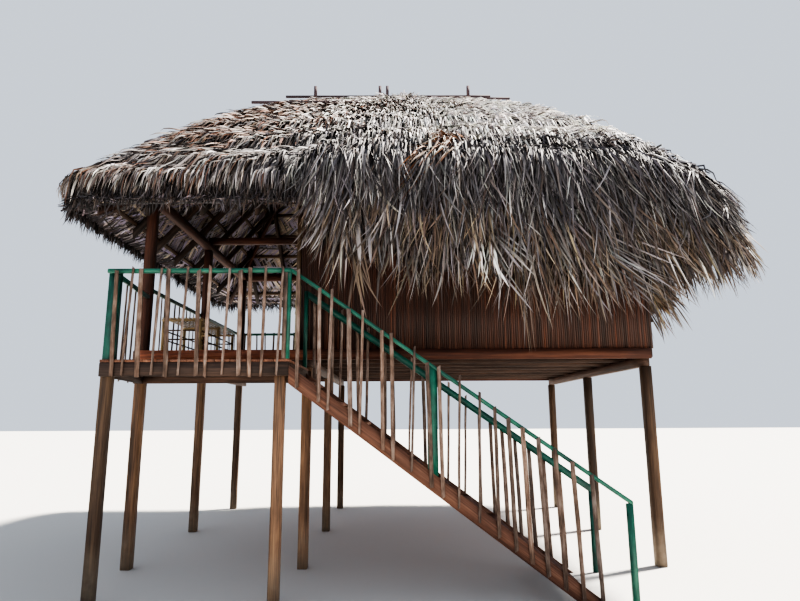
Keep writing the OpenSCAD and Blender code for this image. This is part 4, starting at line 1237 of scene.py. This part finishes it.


# Leaf colours with their shares, along the leaf and at its tip, how far the tip's colour shows, and
# the brightness at the root. A zone may also turn and raise its leaves and have a clear outline.
# By place the mixes are partly weathering and partly painted light: whiter in the top and sunlit zones.
zones = {
    "top": {
        "mix": {"white": 4.5, "bleached": 2.5, "silver": 1.5, "grey": 1.6, "umber": 2, "rust": 0.7,
                "dark": 1.2},
        "tips": {"white": 2.5, "bleached": 2, "umber": 0.8, "rust": 0.4}, "tipShare": 0.7, "rootShade": 0.25},
    # Whiter leaves where the sun falls: partly bleached, partly painted sun highlights
    "bright": {
        "mix": {"white": 7, "bleached": 3, "silver": 1.2, "grey": 1, "umber": 0.8, "dark": 0.6},
        "tips": {"white": 4, "bleached": 2, "umber": 0.4}, "tipShare": 0.7, "rootShade": 0.35},
    "rusty": {
        "mix": {"silver": 0.4, "grey": 1.2, "umber": 3.4, "rust": 4.2, "tan": 2, "slate": 2, "dark": 2.8},
        "tips": {"silver": 0.6, "rust": 2.6, "tan": 1.6, "grey": 1.4, "umber": 2}, "tipShare": 0.7,
        "rootShade": 0.3},
    "orange": {
        "mix": {"amber": 4, "sienna": 4, "tan": 2, "umber": 2},
        "tips": {"amber": 3, "sienna": 2, "straw": 1.5, "bleached": 1}, "tipShare": 0.7, "rootShade": 0.5,
        "heading": -0.6, "lift": 0.04, "clear": 0.75},
    # Low on the left end: paler tips, painted light on the edge that hangs in shade
    "eave": {
        "mix": {"bleached": 0.5, "silver": 1.2, "grey": 2.4, "umber": 3, "tan": 1.3, "rust": 1, "slate": 2.6,
                "dark": 1.6},
        "tips": {"white": 0.9, "bleached": 1, "silver": 1.4, "tan": 2.2, "umber": 2, "rust": 1},
        "tipShare": 1.0, "rootShade": 0.35},
    "left": {
        "mix": {"white": 0.3, "silver": 0.6, "grey": 1.6, "umber": 3.4, "rust": 1, "slate": 3.8, "dark": 4.4},
        "tips": {"white": 0.8, "silver": 0.4, "umber": 3.6, "tan": 0.8, "slate": 2.4}, "tipShare": 0.7,
        "rootShade": 0.25},
    "aged": {
        "mix": {"white": 1.2, "bleached": 1.6, "silver": 2.2, "grey": 2.4, "umber": 2, "rust": 0.3,
                "slate": 1.4, "dark": 1.4},
        "tips": {"white": 0.8, "bleached": 1.6, "silver": 2, "umber": 1}, "tipShare": 0.7, "rootShade": 0.25},
    # Lower on the slopes: darker leaves, painted shade where the slope steepens
    "middle": {
        "mix": {"white": 0.5, "bleached": 0.6, "silver": 1, "grey": 2, "umber": 2, "slate": 3.8, "dark": 4.2},
        "tips": {"bleached": 1.2, "silver": 1.6, "grey": 2, "slate": 2, "umber": 1}, "tipShare": 0.7,
        "rootShade": 0.25},
    "shade": {
        "mix": {"white": 0.3, "bleached": 0.4, "silver": 0.8, "grey": 1.8, "umber": 1.6, "slate": 3.6,
                "dark": 5.5},
        "tips": {"bleached": 0.5, "silver": 1, "grey": 2, "umber": 1.6, "slate": 1.6}, "tipShare": 0.8,
        "rootShade": 0.25},
    "hang": {
        "mix": {"white": 0.2, "bleached": 0.4, "silver": 1, "grey": 2.4, "umber": 3, "straw": 0.5, "tan": 1.2,
                "slate": 1.6, "dark": 2.6},
        "tips": {"straw": 1.7, "tan": 3, "umber": 2.6, "silver": 0.8}, "tipShare": 0.9, "rootShade": 0.25},
    "butt": {
        "mix": {"dark": 5, "slate": 2, "umber": 2, "grey": 0.6},
        "tips": {"umber": 2, "dark": 2, "ash": 1}, "tipShare": 0.5, "rootShade": 0.5},
    "side": {
        "mix": {"tan": 2.6, "straw": 1.6, "umber": 3, "grey": 1.4, "rust": 0.8, "dark": 1},
        "tips": {"straw": 2, "tan": 2, "umber": 1.4}, "tipShare": 0.7, "rootShade": 0.4},
    # Under the roof: pale lilac and grey leaves, painted light and bluish skylight where little light reaches
    "under": {
        "mix": {"ash": 3, "plum": 4, "mat": 2.4, "slate": 1.6, "umber": 0.8},
        "tips": {"ash": 2, "mat": 1.4, "slate": 1}, "tipShare": 0.5, "rootShade": 0.75},
}


# Leaves swing towards the ends of the house the closer they lie to it
def sweep(u, v):
    turn = np.mod(u, 8.0)
    front = np.where((turn < 1) | (turn > 7.5), np.clip(0.35 - np.where(turn > 7, turn - 8, turn), 0, 0.6), 0)
    return -0.9 * front * np.clip(v / eaveV, 0.2, 1)


# Leaves in a lock, how far they gather in it and fan out, then the middle or the spread of each value
courseStyle = {
    "lock": 6, "gather": 0.35, "fan": 0.12, "scatter": 0.08, "length": 0.44, "spread": 0.06, "curl": 0.05,
    "sink": 0.05, "lift": 0.03, "liftSpread": 0.02, "width": 0.021, "fold": (0.1, 0.75), "roll": 0.5,
    "twist": 0.8, "power": 1.2, "nod": 0.35, "lean": sweep,
}
looseStyle = {
    "lock": 4, "gather": 0.5, "fan": 0.3, "scatter": 0.12, "length": 0.36, "spread": 0.14, "curl": 0.12,
    "sink": 0.03, "lift": 0.045, "liftSpread": 0.03, "width": 0.02, "fold": (0.2, 0.9), "roll": 0.8,
    "twist": 1.2, "power": 1.2, "nod": 0.5, "lean": sweep,
}
buttStyle = {
    "lock": 5, "gather": 0.3, "fan": 0.5, "scatter": 0.02, "length": 0.19, "spread": 0.3, "curl": 0.3,
    "sink": 0.05, "lift": -0.01, "liftSpread": 0.03, "width": 0.013, "fold": (0.1, 0.6), "roll": 0.8,
    "twist": 1.0,
}

# Patches of leaves of another age: centre in u and v, reach in both, and their zone
patches = (
    (0.65, 3.0, 0.015, 0.18, "orange"), (0.62, 3.35, 0.02, 0.24, "orange"),
    (0.585, 3.7, 0.017, 0.2, "orange"), (0.4, 1.1, 0.05, 0.3, "rusty"), (0.52, 0.5, 0.06, 0.2, "rusty"),
    (0.75, 0.9, 0.03, 0.3, "rusty"), (0.33, 2.1, 0.05, 0.2, "rusty"))
# Where the zones of the slopes part: u of the left end and of the sunlit middle, whose whiter leaves are
# partly painted sun highlights, and v below which each gives way to the next
zonePlaces = {"leftFrom": 5.2, "leftTo": 0.27, "rustyTo": 2.75, "leftTone": 3.4, "topTo": 2.5,
              "bright": (0.5, 1.7), "sunlitTo": 2.9, "agedFrom": 1.5}


def zoneOf(u, v, rng, p=zonePlaces):
    jitterU, jitterV = rng.normal(0, 0.03, len(u)), rng.normal(0, 0.12, len(v))
    turn = np.mod(u + jitterU, 8.0)
    v = v + jitterV
    wide = np.where(turn > 6, turn - 8, turn)
    isLeft = (turn > p["leftFrom"]) | (wide < p["leftTo"])
    names = np.where(isLeft, np.where(v < p["rustyTo"], "rusty", np.where(v < p["leftTone"], "left", "eave")),
                     np.where(v < p["topTo"], "top", "middle"))
    low, high = p["bright"]
    names = np.where(~isLeft & (wide > low) & (wide < high) & (v < p["sunlitTo"]), "bright", names)
    names = np.where((names == "top") & (turn > p["agedFrom"]), "aged", names)
    for placeU, placeV, reachU, reachV, name in patches:
        clear = zones[name].get("clear", 0)
        farU = (wide - clear * jitterU - placeU) / reachU
        farV = (v - clear * jitterV - placeV) / reachV
        names = np.where(farU ** 2 + farV ** 2 < 1, name, names)
    return names


# Grows a share of the leaves folded along their rib and the others flat
def growMixed(batch, leaf, steps, foldedShare, rng):
    folded = rng.random(len(leaf["u"])) < foldedShare
    growLeaves(batch, roofPlaces, pickLeaves(leaf, folded), steps, True)
    growLeaves(batch, roofPlaces, pickLeaves(leaf, ~folded), steps, False)


def replaceWithLeaves(node, ending, batch):
    print(node + ending, "triangles:", batch["total"])
    linkPiece(node + ending, meshFromBatch(node + ending, batch), (node,))


# The slopes and where each begins and ends in u
slopes = {"thatch_front": (-0.5, 1.5), "thatch_right": (1.5, 3.5), "thatch_back": (3.5, 5.5),
          "thatch_left": (5.5, 7.5)}
slopeStyle = {
    # Leaf style, metres from row to row, metres from leaf to leaf, segments of a leaf, folded share
    "layers": ((courseStyle, 0.13, 0.019, 6, 0.3), (looseStyle, 0.2, 0.05, 6, 0.4)),
    "lengths": ((0, 1.5, eaveV - 0.5, eaveV), (0.7, 0.9, 1.25, 1.6)),     # factor at each v
    "lifts": ((0, 0.5, 1.5, eaveV), (0.2, 0.6, 1.0, 0.9)),
    "pastEdge": 0.2,         # round the veranda the leaves end a hand below the edge
    "pastRoom": 0.74,        # and this much lower round the room
    "shortest": 0.15,
    "above": 0.05,           # how far above its row a leaf begins
    "butts": (0.07, 0.12, 0.17, 0.22),     # rows of short dark ends below the edge round the veranda
    "buttSpacing": 0.011,
}


def coverSlope(node, fromU, toU, seed, style=slopeStyle):
    rng = np.random.default_rng(seed)
    batch = newBatch()
    for leafStyle, rowStep, spacing, steps, foldedShare in style["layers"]:
        rows = []
        for v in np.arange(0.0, eaveV + 0.02, rowStep):
            u = rowPlaces(roofPlaces, min(v + 0.12, eaveV), fromU, toU, spacing, rng)
            rows.append((u, np.full(len(u), v - style["above"])))
        u, v = (np.concatenate(places) for places in zip(*rows))
        names = zoneOf(u, v, rng)
        for name in np.unique(names):
            zone, mask = zones[name], names == name
            leaf = leafValues(u[mask], v[mask], leafStyle, rng, zone)
            leaf["v"] = np.maximum(leaf["v"], 0.0)
            leaf["heading"] += zone.get("heading", 0)
            leaf["lift"] = (leaf["lift"] + zone.get("lift", 0)) * np.interp(leaf["v"], *style["lifts"])
            past = style["pastEdge"] + 0.05 * rng.normal(0, 1, len(leaf["v"]))
            room = eaveV + past + style["pastRoom"] * skirtShare(leaf["u"]) - leaf["v"]
            length = leaf["length"] * np.interp(leaf["v"], *style["lengths"])
            leaf["length"] = np.clip(np.minimum(length, room), style["shortest"], None)
            growMixed(batch, leaf, steps, foldedShare, rng)
    for down in style["butts"]:
        u = rowPlaces(roofPlaces, eaveV + 0.2, fromU, toU, style["buttSpacing"], rng)
        u = u[skirtShare(u) < 0.5]
        if len(u):
            leaf = leafValues(u, np.full(len(u), eaveV + down), buttStyle, rng, zones["butt"])
            growLeaves(batch, roofPlaces, leaf, 3, False)
    replaceWithLeaves(node, "_leaves", batch)


for index, (node, (fromU, toU)) in enumerate(slopes.items()):
    coverSlope(node, fromU, toU, 200 + index)

# The ridge: short leaves bent over it from both sides, and others that lie along it and close the seam
ridgeStyle = dict(looseStyle, length=0.32, lift=0.0, liftSpread=0.015, spread=0.5, nod=0.2)
seamStyle = dict(ridgeStyle, scatter=0.01, lift=0.02, width=0.032, spread=0.18)
ridgePlaces = {"over": 0.012, "along": 0.022, "rows": (0.01, 0.05, 0.09), "tuft": 0.15, "tuftAt": 0.54}


def coverRidge(node, seed, places=ridgePlaces):
    rng = np.random.default_rng(seed)
    batch = newBatch()
    for fromU, toU in ((0.0, 1.0), (4.0, 5.0)):
        u = np.concatenate([rowPlaces(roofPlaces, 0.08, fromU, toU, places["over"], rng) for _ in range(3)])
        leaf = leafValues(u, rng.uniform(0, 0.12, len(u)), ridgeStyle, rng, zones["top"])
        # They stand up a little in the middle of the ridge
        tuft = np.exp(-((leaf["u"] % 4 - places["tuftAt"]) / 0.1) ** 2)
        leaf["lift"] += places["tuft"] * tuft * rng.random(len(u))
        growLeaves(batch, roofPlaces, leaf, 5, True)
        for v in places["rows"]:
            u = rowPlaces(roofPlaces, 0.08, fromU, toU, places["along"], rng)
            leaf = leafValues(u, np.full(len(u), v), seamStyle, rng, zones["top"])
            leaf["v"] = np.maximum(leaf["v"], 0.0)
            leaf["sink"][:] = 0.0
            leaf["heading"] += np.where(rng.random(len(u)) < 0.5, 1.45, -1.45)
            growLeaves(batch, roofPlaces, leaf, 5, True)
    replaceWithLeaves(node, "_leaves", batch)


coverRidge("thatch_ridge", 210)


# Hanging leaves round the room. The hem follows a row of places (u, metres below the edge): long
# clumps with gaps between them in front, then an even hem round the right end.
hem = np.array((
    (0.35, 0.4), (0.37, 0.75), (0.385, 0.95), (0.40, 1.1), (0.424, 1.42), (0.445, 1.18), (0.48, 1.22),
    (0.506, 1.3), (0.53, 1.46), (0.56, 1.58), (0.615, 1.5), (0.635, 1.3), (0.665, 1.5), (0.69, 1.72),
    (0.74, 1.72), (0.79, 1.75), (0.84, 1.62), (0.88, 1.6), (0.93, 1.5), (1.0, 1.36), (1.25, 1.2),
    (1.5, 1.05), (2.5, 1.0)))
hangStyle = {
    "lock": 8, "gather": 0.55, "fan": 0.4, "scatter": 0.1, "length": 1.0, "spread": 0.14, "curl": 0.3,
    "sink": 0.05, "lift": 0.0, "liftSpread": 0.05, "width": 0.022, "fold": (0.1, 0.8), "roll": 0.6,
    "twist": 1.3,
    "spacing": 0.017,
    "tiers": 4,
    "tierFrom": 0.35,        # metres above the edge at which the first tier begins
    "tierReach": 0.85,       # metres from there to the last tier
    "tierEnds": (0.42, 0.58),     # share of the hem at which the first ends, and what the last adds
    "folded": 0.6,
    "toVeranda": 0.28,       # how far the first leaves beside the veranda point towards it
    "toBack": ((0.62, 0.85, 1.1, 1.3), (0, 0.3, 0.3, 0)),      # how far they lean to the right, by u
    "fronds": (0.006, 0.045, 0.06),     # share of broad pieces at the left, and their widths
    "strays": (0.03, 0.1, 0.4),         # share of leaves that hang lower, and by how much
    # Bunches that stand out: u, metres below the edge, heading and its spread, number, length, width, tone.
    # The white bunch is painted sunlight on leaves that stick out.
    "bunches": (
        (0.637, 0.85, 0.1, 0.35, 16, 0.34, 0.022, "white"), (0.66, 0.65, 0.6, 0.25, 10, 0.6, 0.022, "silver"),
        (0.82, 0.75, 1.0, 0.16, 10, 0.9, 0.017, "silver"), (0.84, 0.95, 0.8, 0.16, 10, 0.6, 0.018, "grey"),
        (0.462, 0.6, 0.08, 0.1, 3, 0.55, 0.05, "silver"), (0.389, 0.45, -0.4, 0.3, 26, 0.32, 0.02, "silver"),
        (0.44, 0.75, 0.1, 0.3, 10, 0.6, 0.024, "tan"), (0.694, 1.0, 0.02, 0.05, 5, 1.1, 0.018, "tan"),
        (0.58, 0.5, -0.3, 0.3, 12, 0.5, 0.024, "tan"), (0.75, 0.6, 0.3, 0.3, 14, 0.6, 0.024, "grey"),
        (0.9, 0.9, 0.7, 0.3, 16, 0.6, 0.024, "tan")),
}


def hemPlace(u):
    return np.interp(roomTurn(u), hem[:, 0], hem[:, 1])


def hangLayer(batch, fromU, toU, share, rng, style):
    u = rowPlaces(roofPlaces, eaveV + 0.3, fromU, toU, style["spacing"], rng)
    v = np.full(len(u), eaveV - style["tierFrom"] + style["tierReach"] * share)
    leaf = leafValues(u, v, style, rng, zones["hang" if share > 0.5 else "shade"])
    u, count = leaf["u"], len(u)
    leaf["heading"] -= style["toVeranda"] * np.clip((0.4 - u) / 0.04, 0, 1) * (u < 1)
    leaf["heading"] += np.interp(u, *style["toBack"])
    first, more = style["tierEnds"]
    end = eaveV + hemPlace(u) * (first + more * share) - 0.12 * np.abs(rng.normal(0, 1, count))
    strays, least, most = style["strays"]
    lower = np.where(rng.random(count) < strays, rng.uniform(least, most, count), 0)
    leaf["length"] = np.clip(end + lower * skirtShare(u) * (u < 0.9) - leaf["v"], 0.3, 1.5)
    fronds, least, most = style["fronds"]
    wide = (rng.random(count) < fronds) & (u < 0.6)
    leaf["width"] = np.where(wide, rng.uniform(least, most, count), leaf["width"])
    leaf["lift"] = leaf["lift"] + 0.06 * (1 - share)
    growMixed(batch, leaf, 7, style["folded"], rng)


def hangLeaves(node, fromU, toU, layers, seed, style=hangStyle):
    rng = np.random.default_rng(seed)
    batch = newBatch()
    for index in range(layers):
        share = (index * style["tiers"] // layers) / (style["tiers"] - 1)
        hangLayer(batch, fromU, toU, share, rng, style)
    for place, down, heading, fan, number, length, width, tone in style["bunches"]:
        if fromU < place < toU:
            n = np.full(number, 1.0)
            u = place + 0.012 * rng.normal(0, 1, number)
            leaf = leafValues(u, n * (eaveV + down), style, rng, zones["hang"])
            leaf["heading"] = heading + fan * rng.uniform(-1, 1, number)
            leaf["length"] = length * rng.uniform(0.7, 1.05, number)
            leaf["width"] = width * rng.uniform(0.8, 1.2, number)
            leaf["curl"] = 0.1 * rng.normal(0, 1, number)
            leaf["tone"] = leafTones({tone: 1}, number, rng)
            leaf["lift"], leaf["sink"], leaf["tipShare"] = n * 0.07, n * 0.02, n * 0.2
            growLeaves(batch, roofPlaces, leaf, 6, True)
    replaceWithLeaves(node, "_leaves", batch)


# Packed leaves behind the hanging ones, drawn dark as painted shade: a thin sheet with two faces, drawn
# through rows that are each a share of the hem below the edge and so many metres behind the leaves
skirtRows = ((-0.02, 0.06), (0.25, 0.07), (0.5, 0.08), (0.72, 0.09), (0.72, 0.11), (0.5, 0.15), (0.25, 0.15),
             (-0.02, 0.12))


def skirtCore(node, fromU, toU):
    u = np.linspace(fromU, toU, 90)
    count, rows = len(u), len(skirtRows)
    target = newTarget()
    for down, inset in skirtRows:
        place, normal = surfaceFrame(roofPlaces, u, eaveV + down * hemPlace(u), False)[:2]
        for p in place - normal * inset:
            addPoint(target, p, p, (1, 1, 1, 1))
    for r in range(rows):
        for i in range(count - 1):
            a, b = r * count + i, (r + 1) % rows * count + i
            target["faces"].append([a, b, b + 1, a + 1])
    target["faces"] += [[r * count + i for r in range(rows)] for i in (0, count - 1)]
    replaceNode(node, "_core", target, [shadedLeafPack])


# Each fringe with its ends in u, those of its core, and the number of its layers
fringes = {"fringe_front": (0.358, 1.5, 0.385, 1.5, 14), "fringe_right": (1.5, 3.5, 1.5, 3.5, 8),
           "fringe_back": (3.5, 4.642, 3.5, 4.615, 8)}
for index, (node, (fromU, toU, _, _, layers)) in enumerate(fringes.items()):
    hangLeaves(node, fromU, toU, layers, 220 + index)
for node, (_, _, coreFrom, coreTo, _) in fringes.items():
    skirtCore(node, coreFrom, coreTo)


# The mass under the leaves: the imported thatch, drawn in under its skin, dark as painted shade and
# paler where it looks down as painted light
coreStyle = {
    "inset": 0.075,
    "near": 0.24,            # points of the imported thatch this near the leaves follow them
    "under": -0.3,           # faces that look down more than this take the paler underside, painted light
}


def thatchCores(style=coreStyle):
    grid = [(u, v) for u in np.arange(0, 8, 0.02) for v in np.arange(0.02, eaveV + 1.3, 0.06)]
    u, v = np.array(grid).T
    place, normal = surfaceFrame(roofPlaces, u, v, False)[:2]
    tree = KDTree(len(place))
    for i, p in enumerate(place):
        tree.insert(p, i)
    tree.balance()
    for node in ("thatch_front", "thatch_back", "thatch_left", "thatch_right", "thatch_ridge"):
        target = newTarget()
        for points, faces in nodeSolids(node):
            moved = []
            for p in points:
                spot, i, distance = tree.find(p)
                if distance < style["near"]:
                    spot = spot - Vector(normal[i]) * style["inset"]
                    if p.z < roof["soffitHeight"] + 0.01:
                        spot.z = p.z
                    moved.append(spot)
                else:
                    moved.append(p.copy())
            addSolid(target, moved, faces, (1, 1, 1, 1), points)
            for face in faces:
                a, b, c = (points[i] for i in (face[0], face[len(face) // 3], face[2 * len(face) // 3]))
                target["materials"].append(int((b - a).cross(c - a).normalized().z < style["under"]))
        replaceNode(node, "_core", target, [shadedLeafPack, underLitLeaf])


thatchCores()


# Underside: crossed leaf strips on the battens, and leaf ends under the edge
liningStyle = {
    "lock": 6, "scatter": 0.02, "length": 0.44, "spread": 0.06, "curl": 0.03, "sink": -0.003,
    "lift": 0.009, "liftSpread": 0.003, "width": 0.036, "fold": (0.0, 0.1), "roll": 0.06, "twist": 0.05,
    "blunt": (7, 14),
    "spacing": 0.03,
    "rowStep": 0.22,
    "cross": 0.6,            # radians to either side, in turn from row to row
}
liningEdgeStyle = dict(liningStyle, length=0.45, spread=0.2, curl=0.3, lift=0.015, liftSpread=0.02,
                       width=0.026, fold=(0.1, 0.7), roll=0.4, twist=0.8, blunt=(2, 5), rowStep=0.1)
liningEdgeZone = dict(zones["under"], mix={"dark": 4, "slate": 3, "umber": 2, "ash": 1},
                      tips={"dark": 2, "umber": 1, "ash": 1})


def lineSlope(node, fromU, toU, rng):
    length = float(soffitTable[0][-1])
    batch = newBatch()
    style = liningStyle
    for index, v in enumerate(np.arange(0.05, length - 0.5, style["rowStep"])):
        u = rowPlaces(soffitPlaces, v + 0.2, fromU, toU, style["spacing"], rng)
        leaf = leafValues(u, np.full(len(u), v), style, rng, zones["under"])
        leaf["heading"] += np.where(index % 2, style["cross"], -style["cross"])
        growLeaves(batch, soffitPlaces, leaf, 3, False, True)
    style = liningEdgeStyle
    for v in np.arange(length - 0.75, length - 0.2, style["rowStep"]):
        u = rowPlaces(soffitPlaces, length - 0.2, fromU, toU, style["spacing"], rng)
        leaf = leafValues(u, np.full(len(u), v), style, rng, liningEdgeZone)
        leaf["length"] = np.minimum(leaf["length"], length - v + 0.02 + 0.05 * rng.normal(0, 1, len(u)))
        growLeaves(batch, soffitPlaces, leaf, 4, False, True)
    replaceWithLeaves(node, "_lining", batch)


liningDraws = np.random.default_rng(230)
for node, (fromU, toU) in slopes.items():
    lineSlope(node, fromU, toU, liningDraws)


# Leaves that hang on the right wall, spread outwards like a brush. u runs along the wall, v down it.
# The outlines are in x and z.
sidePlaces = {
    "front": -2.01, "back": 2.18, "layers": 6, "rows": (0.0, 0.14, 0.28, 0.42), "length": 0.6,
    "inner": ((2.655, 3.30), (2.66, 3.0), (2.67, 2.7), (2.68, 2.45), (2.69, 2.2), (2.7, 2.0)),
    "outer": ((2.70, 3.32), (2.86, 3.08), (3.02, 2.76), (3.14, 2.48), (3.19, 2.32), (3.22, 2.1)),
    # Ends in u and metres from leaf to leaf: inside, leaves are drawn only near both ends, where they show
    "outside": ((0.005, 0.995, 0.035),), "inside": ((0.005, 0.1, 0.02), (0.9, 0.995, 0.02)),
    "coreScale": 0.66, "coreShift": (-0.05, 0, 0.12),
}
sideStyle = dict(hangStyle, spread=0.1, curl=0.2, lift=0.0, liftSpread=0.02, scatter=0.05)


def sideSurface(depth, p=sidePlaces):
    outline = np.array(p["inner"]) * (1 - depth) + np.array(p["outer"]) * depth
    reach = np.concatenate([[0], np.cumsum(np.hypot(*np.diff(outline, axis=0).T))])

    def places(u, v):
        y = p["front"] + (p["back"] - p["front"]) * u
        return np.stack([np.interp(v, reach, outline[:, 0]), y, np.interp(v, reach, outline[:, 1])], -1)
    return places


def sideLeaves(node, seed, p=sidePlaces):
    rng = np.random.default_rng(seed)
    batch = newBatch()
    for depth in np.linspace(0.15, 1, p["layers"]):
        surface = sideSurface(depth)
        for v in p["rows"]:
            spans = p["outside" if depth > 0.9 else "inside"]
            u = np.concatenate([rowPlaces(surface, 0.3, *span, rng) for span in spans])
            leaf = leafValues(np.clip(u, 0.003, 0.997), np.full(len(u), v), sideStyle, rng, zones["side"])
            leaf["length"] = np.clip(p["length"] + 0.05 * rng.normal(0, 1, len(u)) - leaf["v"], 0.15, 1.0)
            growLeaves(batch, surface, leaf, 5, True)
    replaceWithLeaves(node, "_leaves", batch)
    target = newTarget()
    for points, faces in nodeSolids(node):
        middle = sum(points, Vector()) / len(points)
        moved = [middle + (c - middle) * p["coreScale"] + Vector(p["coreShift"]) for c in points]
        addSolid(target, moved, faces, (1, 1, 1, 1), points)
    replaceNode(node, "_core", target, [shadedLeafPack])


sideLeaves("side_leaves", 240)
print("thatch: done")


# Bench: bamboo frames and split slats with rings, on thin rails
benchStyle = {
    "joint": 0.29, "lastJoint": 0.03, "ring": 0.0022, "sides": 12,
    "rings": ((-0.012, 0.0), (-0.003, 1.0), (0, -0.2), (0.004, 1.0), (0.014, 0.0)),
    "legsX": (-2.958, -2.522), "legsY": (-1.488, -0.785, -0.082), "leg": 0.022, "floor": 2.26,
    "bearerX": (-2.98, -2.50), "bearerZ": (2.663, 2.698),
}


# radius has two values, to the side and up, and flat is the rings' share of swell upwards
def bambooCane(target, start, end, radius, flat, rng, style=benchStyle):
    along = (end - start).normalized()
    across, third = crossAxes(along)
    length = (end - start).length
    rings = bambooRings(0.0, length, rng.uniform(0.08, style["joint"]), style, rng)
    first, n = len(target["points"]), style["sides"]
    tone, warm, shift = rng.uniform(0.85, 1.12), rng.uniform(-0.03, 0.05), rng.uniform(-40, 40, 3)
    for s, swell in rings:
        swell = style["ring"] * (swell - 1)
        for j in range(n):
            angle = 2 * math.pi * j / n
            wide = (radius[0] + swell) * math.cos(angle)
            tall = (radius[1] + swell * flat) * math.sin(angle)
            grain = (s + shift[0], wide + shift[1], tall + shift[2])
            addPoint(target, start + along * s + across * wide + third * tall, grain, warmTone(tone, warm))
    addTubeFaces(target, first, len(rings), n)


def caneNode(node, material, seed, flat):
    rng = np.random.default_rng(seed)
    target = newTarget()
    for points, faces in nodeSolids(node):
        along = longDirection(points, faces)
        across, third = crossAxes(along)
        low, high = reachAlong(points, along)
        spans = reachAlong(points, across), reachAlong(points, third)
        middle = across * sum(spans[0]) / 2 + third * sum(spans[1]) / 2
        radius = [(b - a) / 2 for a, b in spans]
        bambooCane(target, middle + along * low, middle + along * high, radius, flat, rng)
    replaceNode(node, "_canes", target, [material], True)


def benchFrame(node, seed, style=benchStyle):
    rng = np.random.default_rng(seed)
    target = newTarget()
    low, high = style["bearerZ"]
    half = (high - low) / 2
    for y in style["legsY"]:
        for x in style["legsX"]:
            foot, head = Vector((x, y, style["floor"])), Vector((x, y, low))
            bambooCane(target, foot, head, (style["leg"],) * 2, 1.0, rng)
        ends = [Vector((x, y, low + half)) for x in style["bearerX"]]
        bambooCane(target, *ends, (half, half), 1.0, rng)
    replaceNode(node, "_canes", target, [yellowBamboo], True)


benchFrame("bench_frame", 262)
caneNode("bench_seat", yellowBamboo, 260, 0.5)
caneNode("bench_rails", darkCane, 261, 1.0)
print("bench: 3")

# Light and floor
studio = {
    "sun": (0.5, 0.26, 0.83),    # direction towards it
    "sunAngle": 5,
    "sunStrength": 15.0,
    "sunColor": "#fff8ee",
    "sky": "#dfe8f5",
    "skyStrength": 0.85,
    "floor": "#c2c0bc",
    "floorReach": 60,
    "look": "AgX - High Contrast",
    "exposure": 0.1,
}


def lightStudio(style):
    scene = bpy.context.scene
    scene.view_settings.view_transform = "AgX"
    scene.view_settings.look = style["look"]
    scene.view_settings.exposure = style["exposure"]
    data = bpy.data.lights.new("softSun", "SUN")
    data.angle = math.radians(style["sunAngle"])
    data.energy = style["sunStrength"]
    data.color = hexColor(style["sunColor"])[:3]
    sun = bpy.data.objects.new("softSun", data)
    scene.collection.objects.link(sun)
    sun.rotation_euler = Vector(style["sun"]).to_track_quat("Z", "Y").to_euler()
    scene.world = bpy.data.worlds.new("studio")
    scene.world.use_nodes = True
    background = scene.world.node_tree.nodes["Background"]
    background.inputs["Color"].default_value = hexColor(style["sky"])
    background.inputs["Strength"].default_value = style["skyStrength"]


# Matt plaster, pale and even
def plasterFloor(style):
    plaster = newMaterial("plasterFloor")
    finishMaterial(plaster, style["floor"], 0.9, pattern(plaster, 6.0, 5.0), 0.004, 0.15)
    reach = style["floorReach"]
    corners = [(-reach, -reach, 0), (reach, -reach, 0), (reach, reach, 0), (-reach, reach, 0)]
    mesh = meshFromArrays("studioFloor", corners, [np.array([[0, 1, 2, 3]])], [plaster])
    studioFloor = bpy.data.objects.new("studioFloor", mesh)
    bpy.context.scene.collection.objects.link(studioFloor)


lightStudio(studio)
plasterFloor(studio)
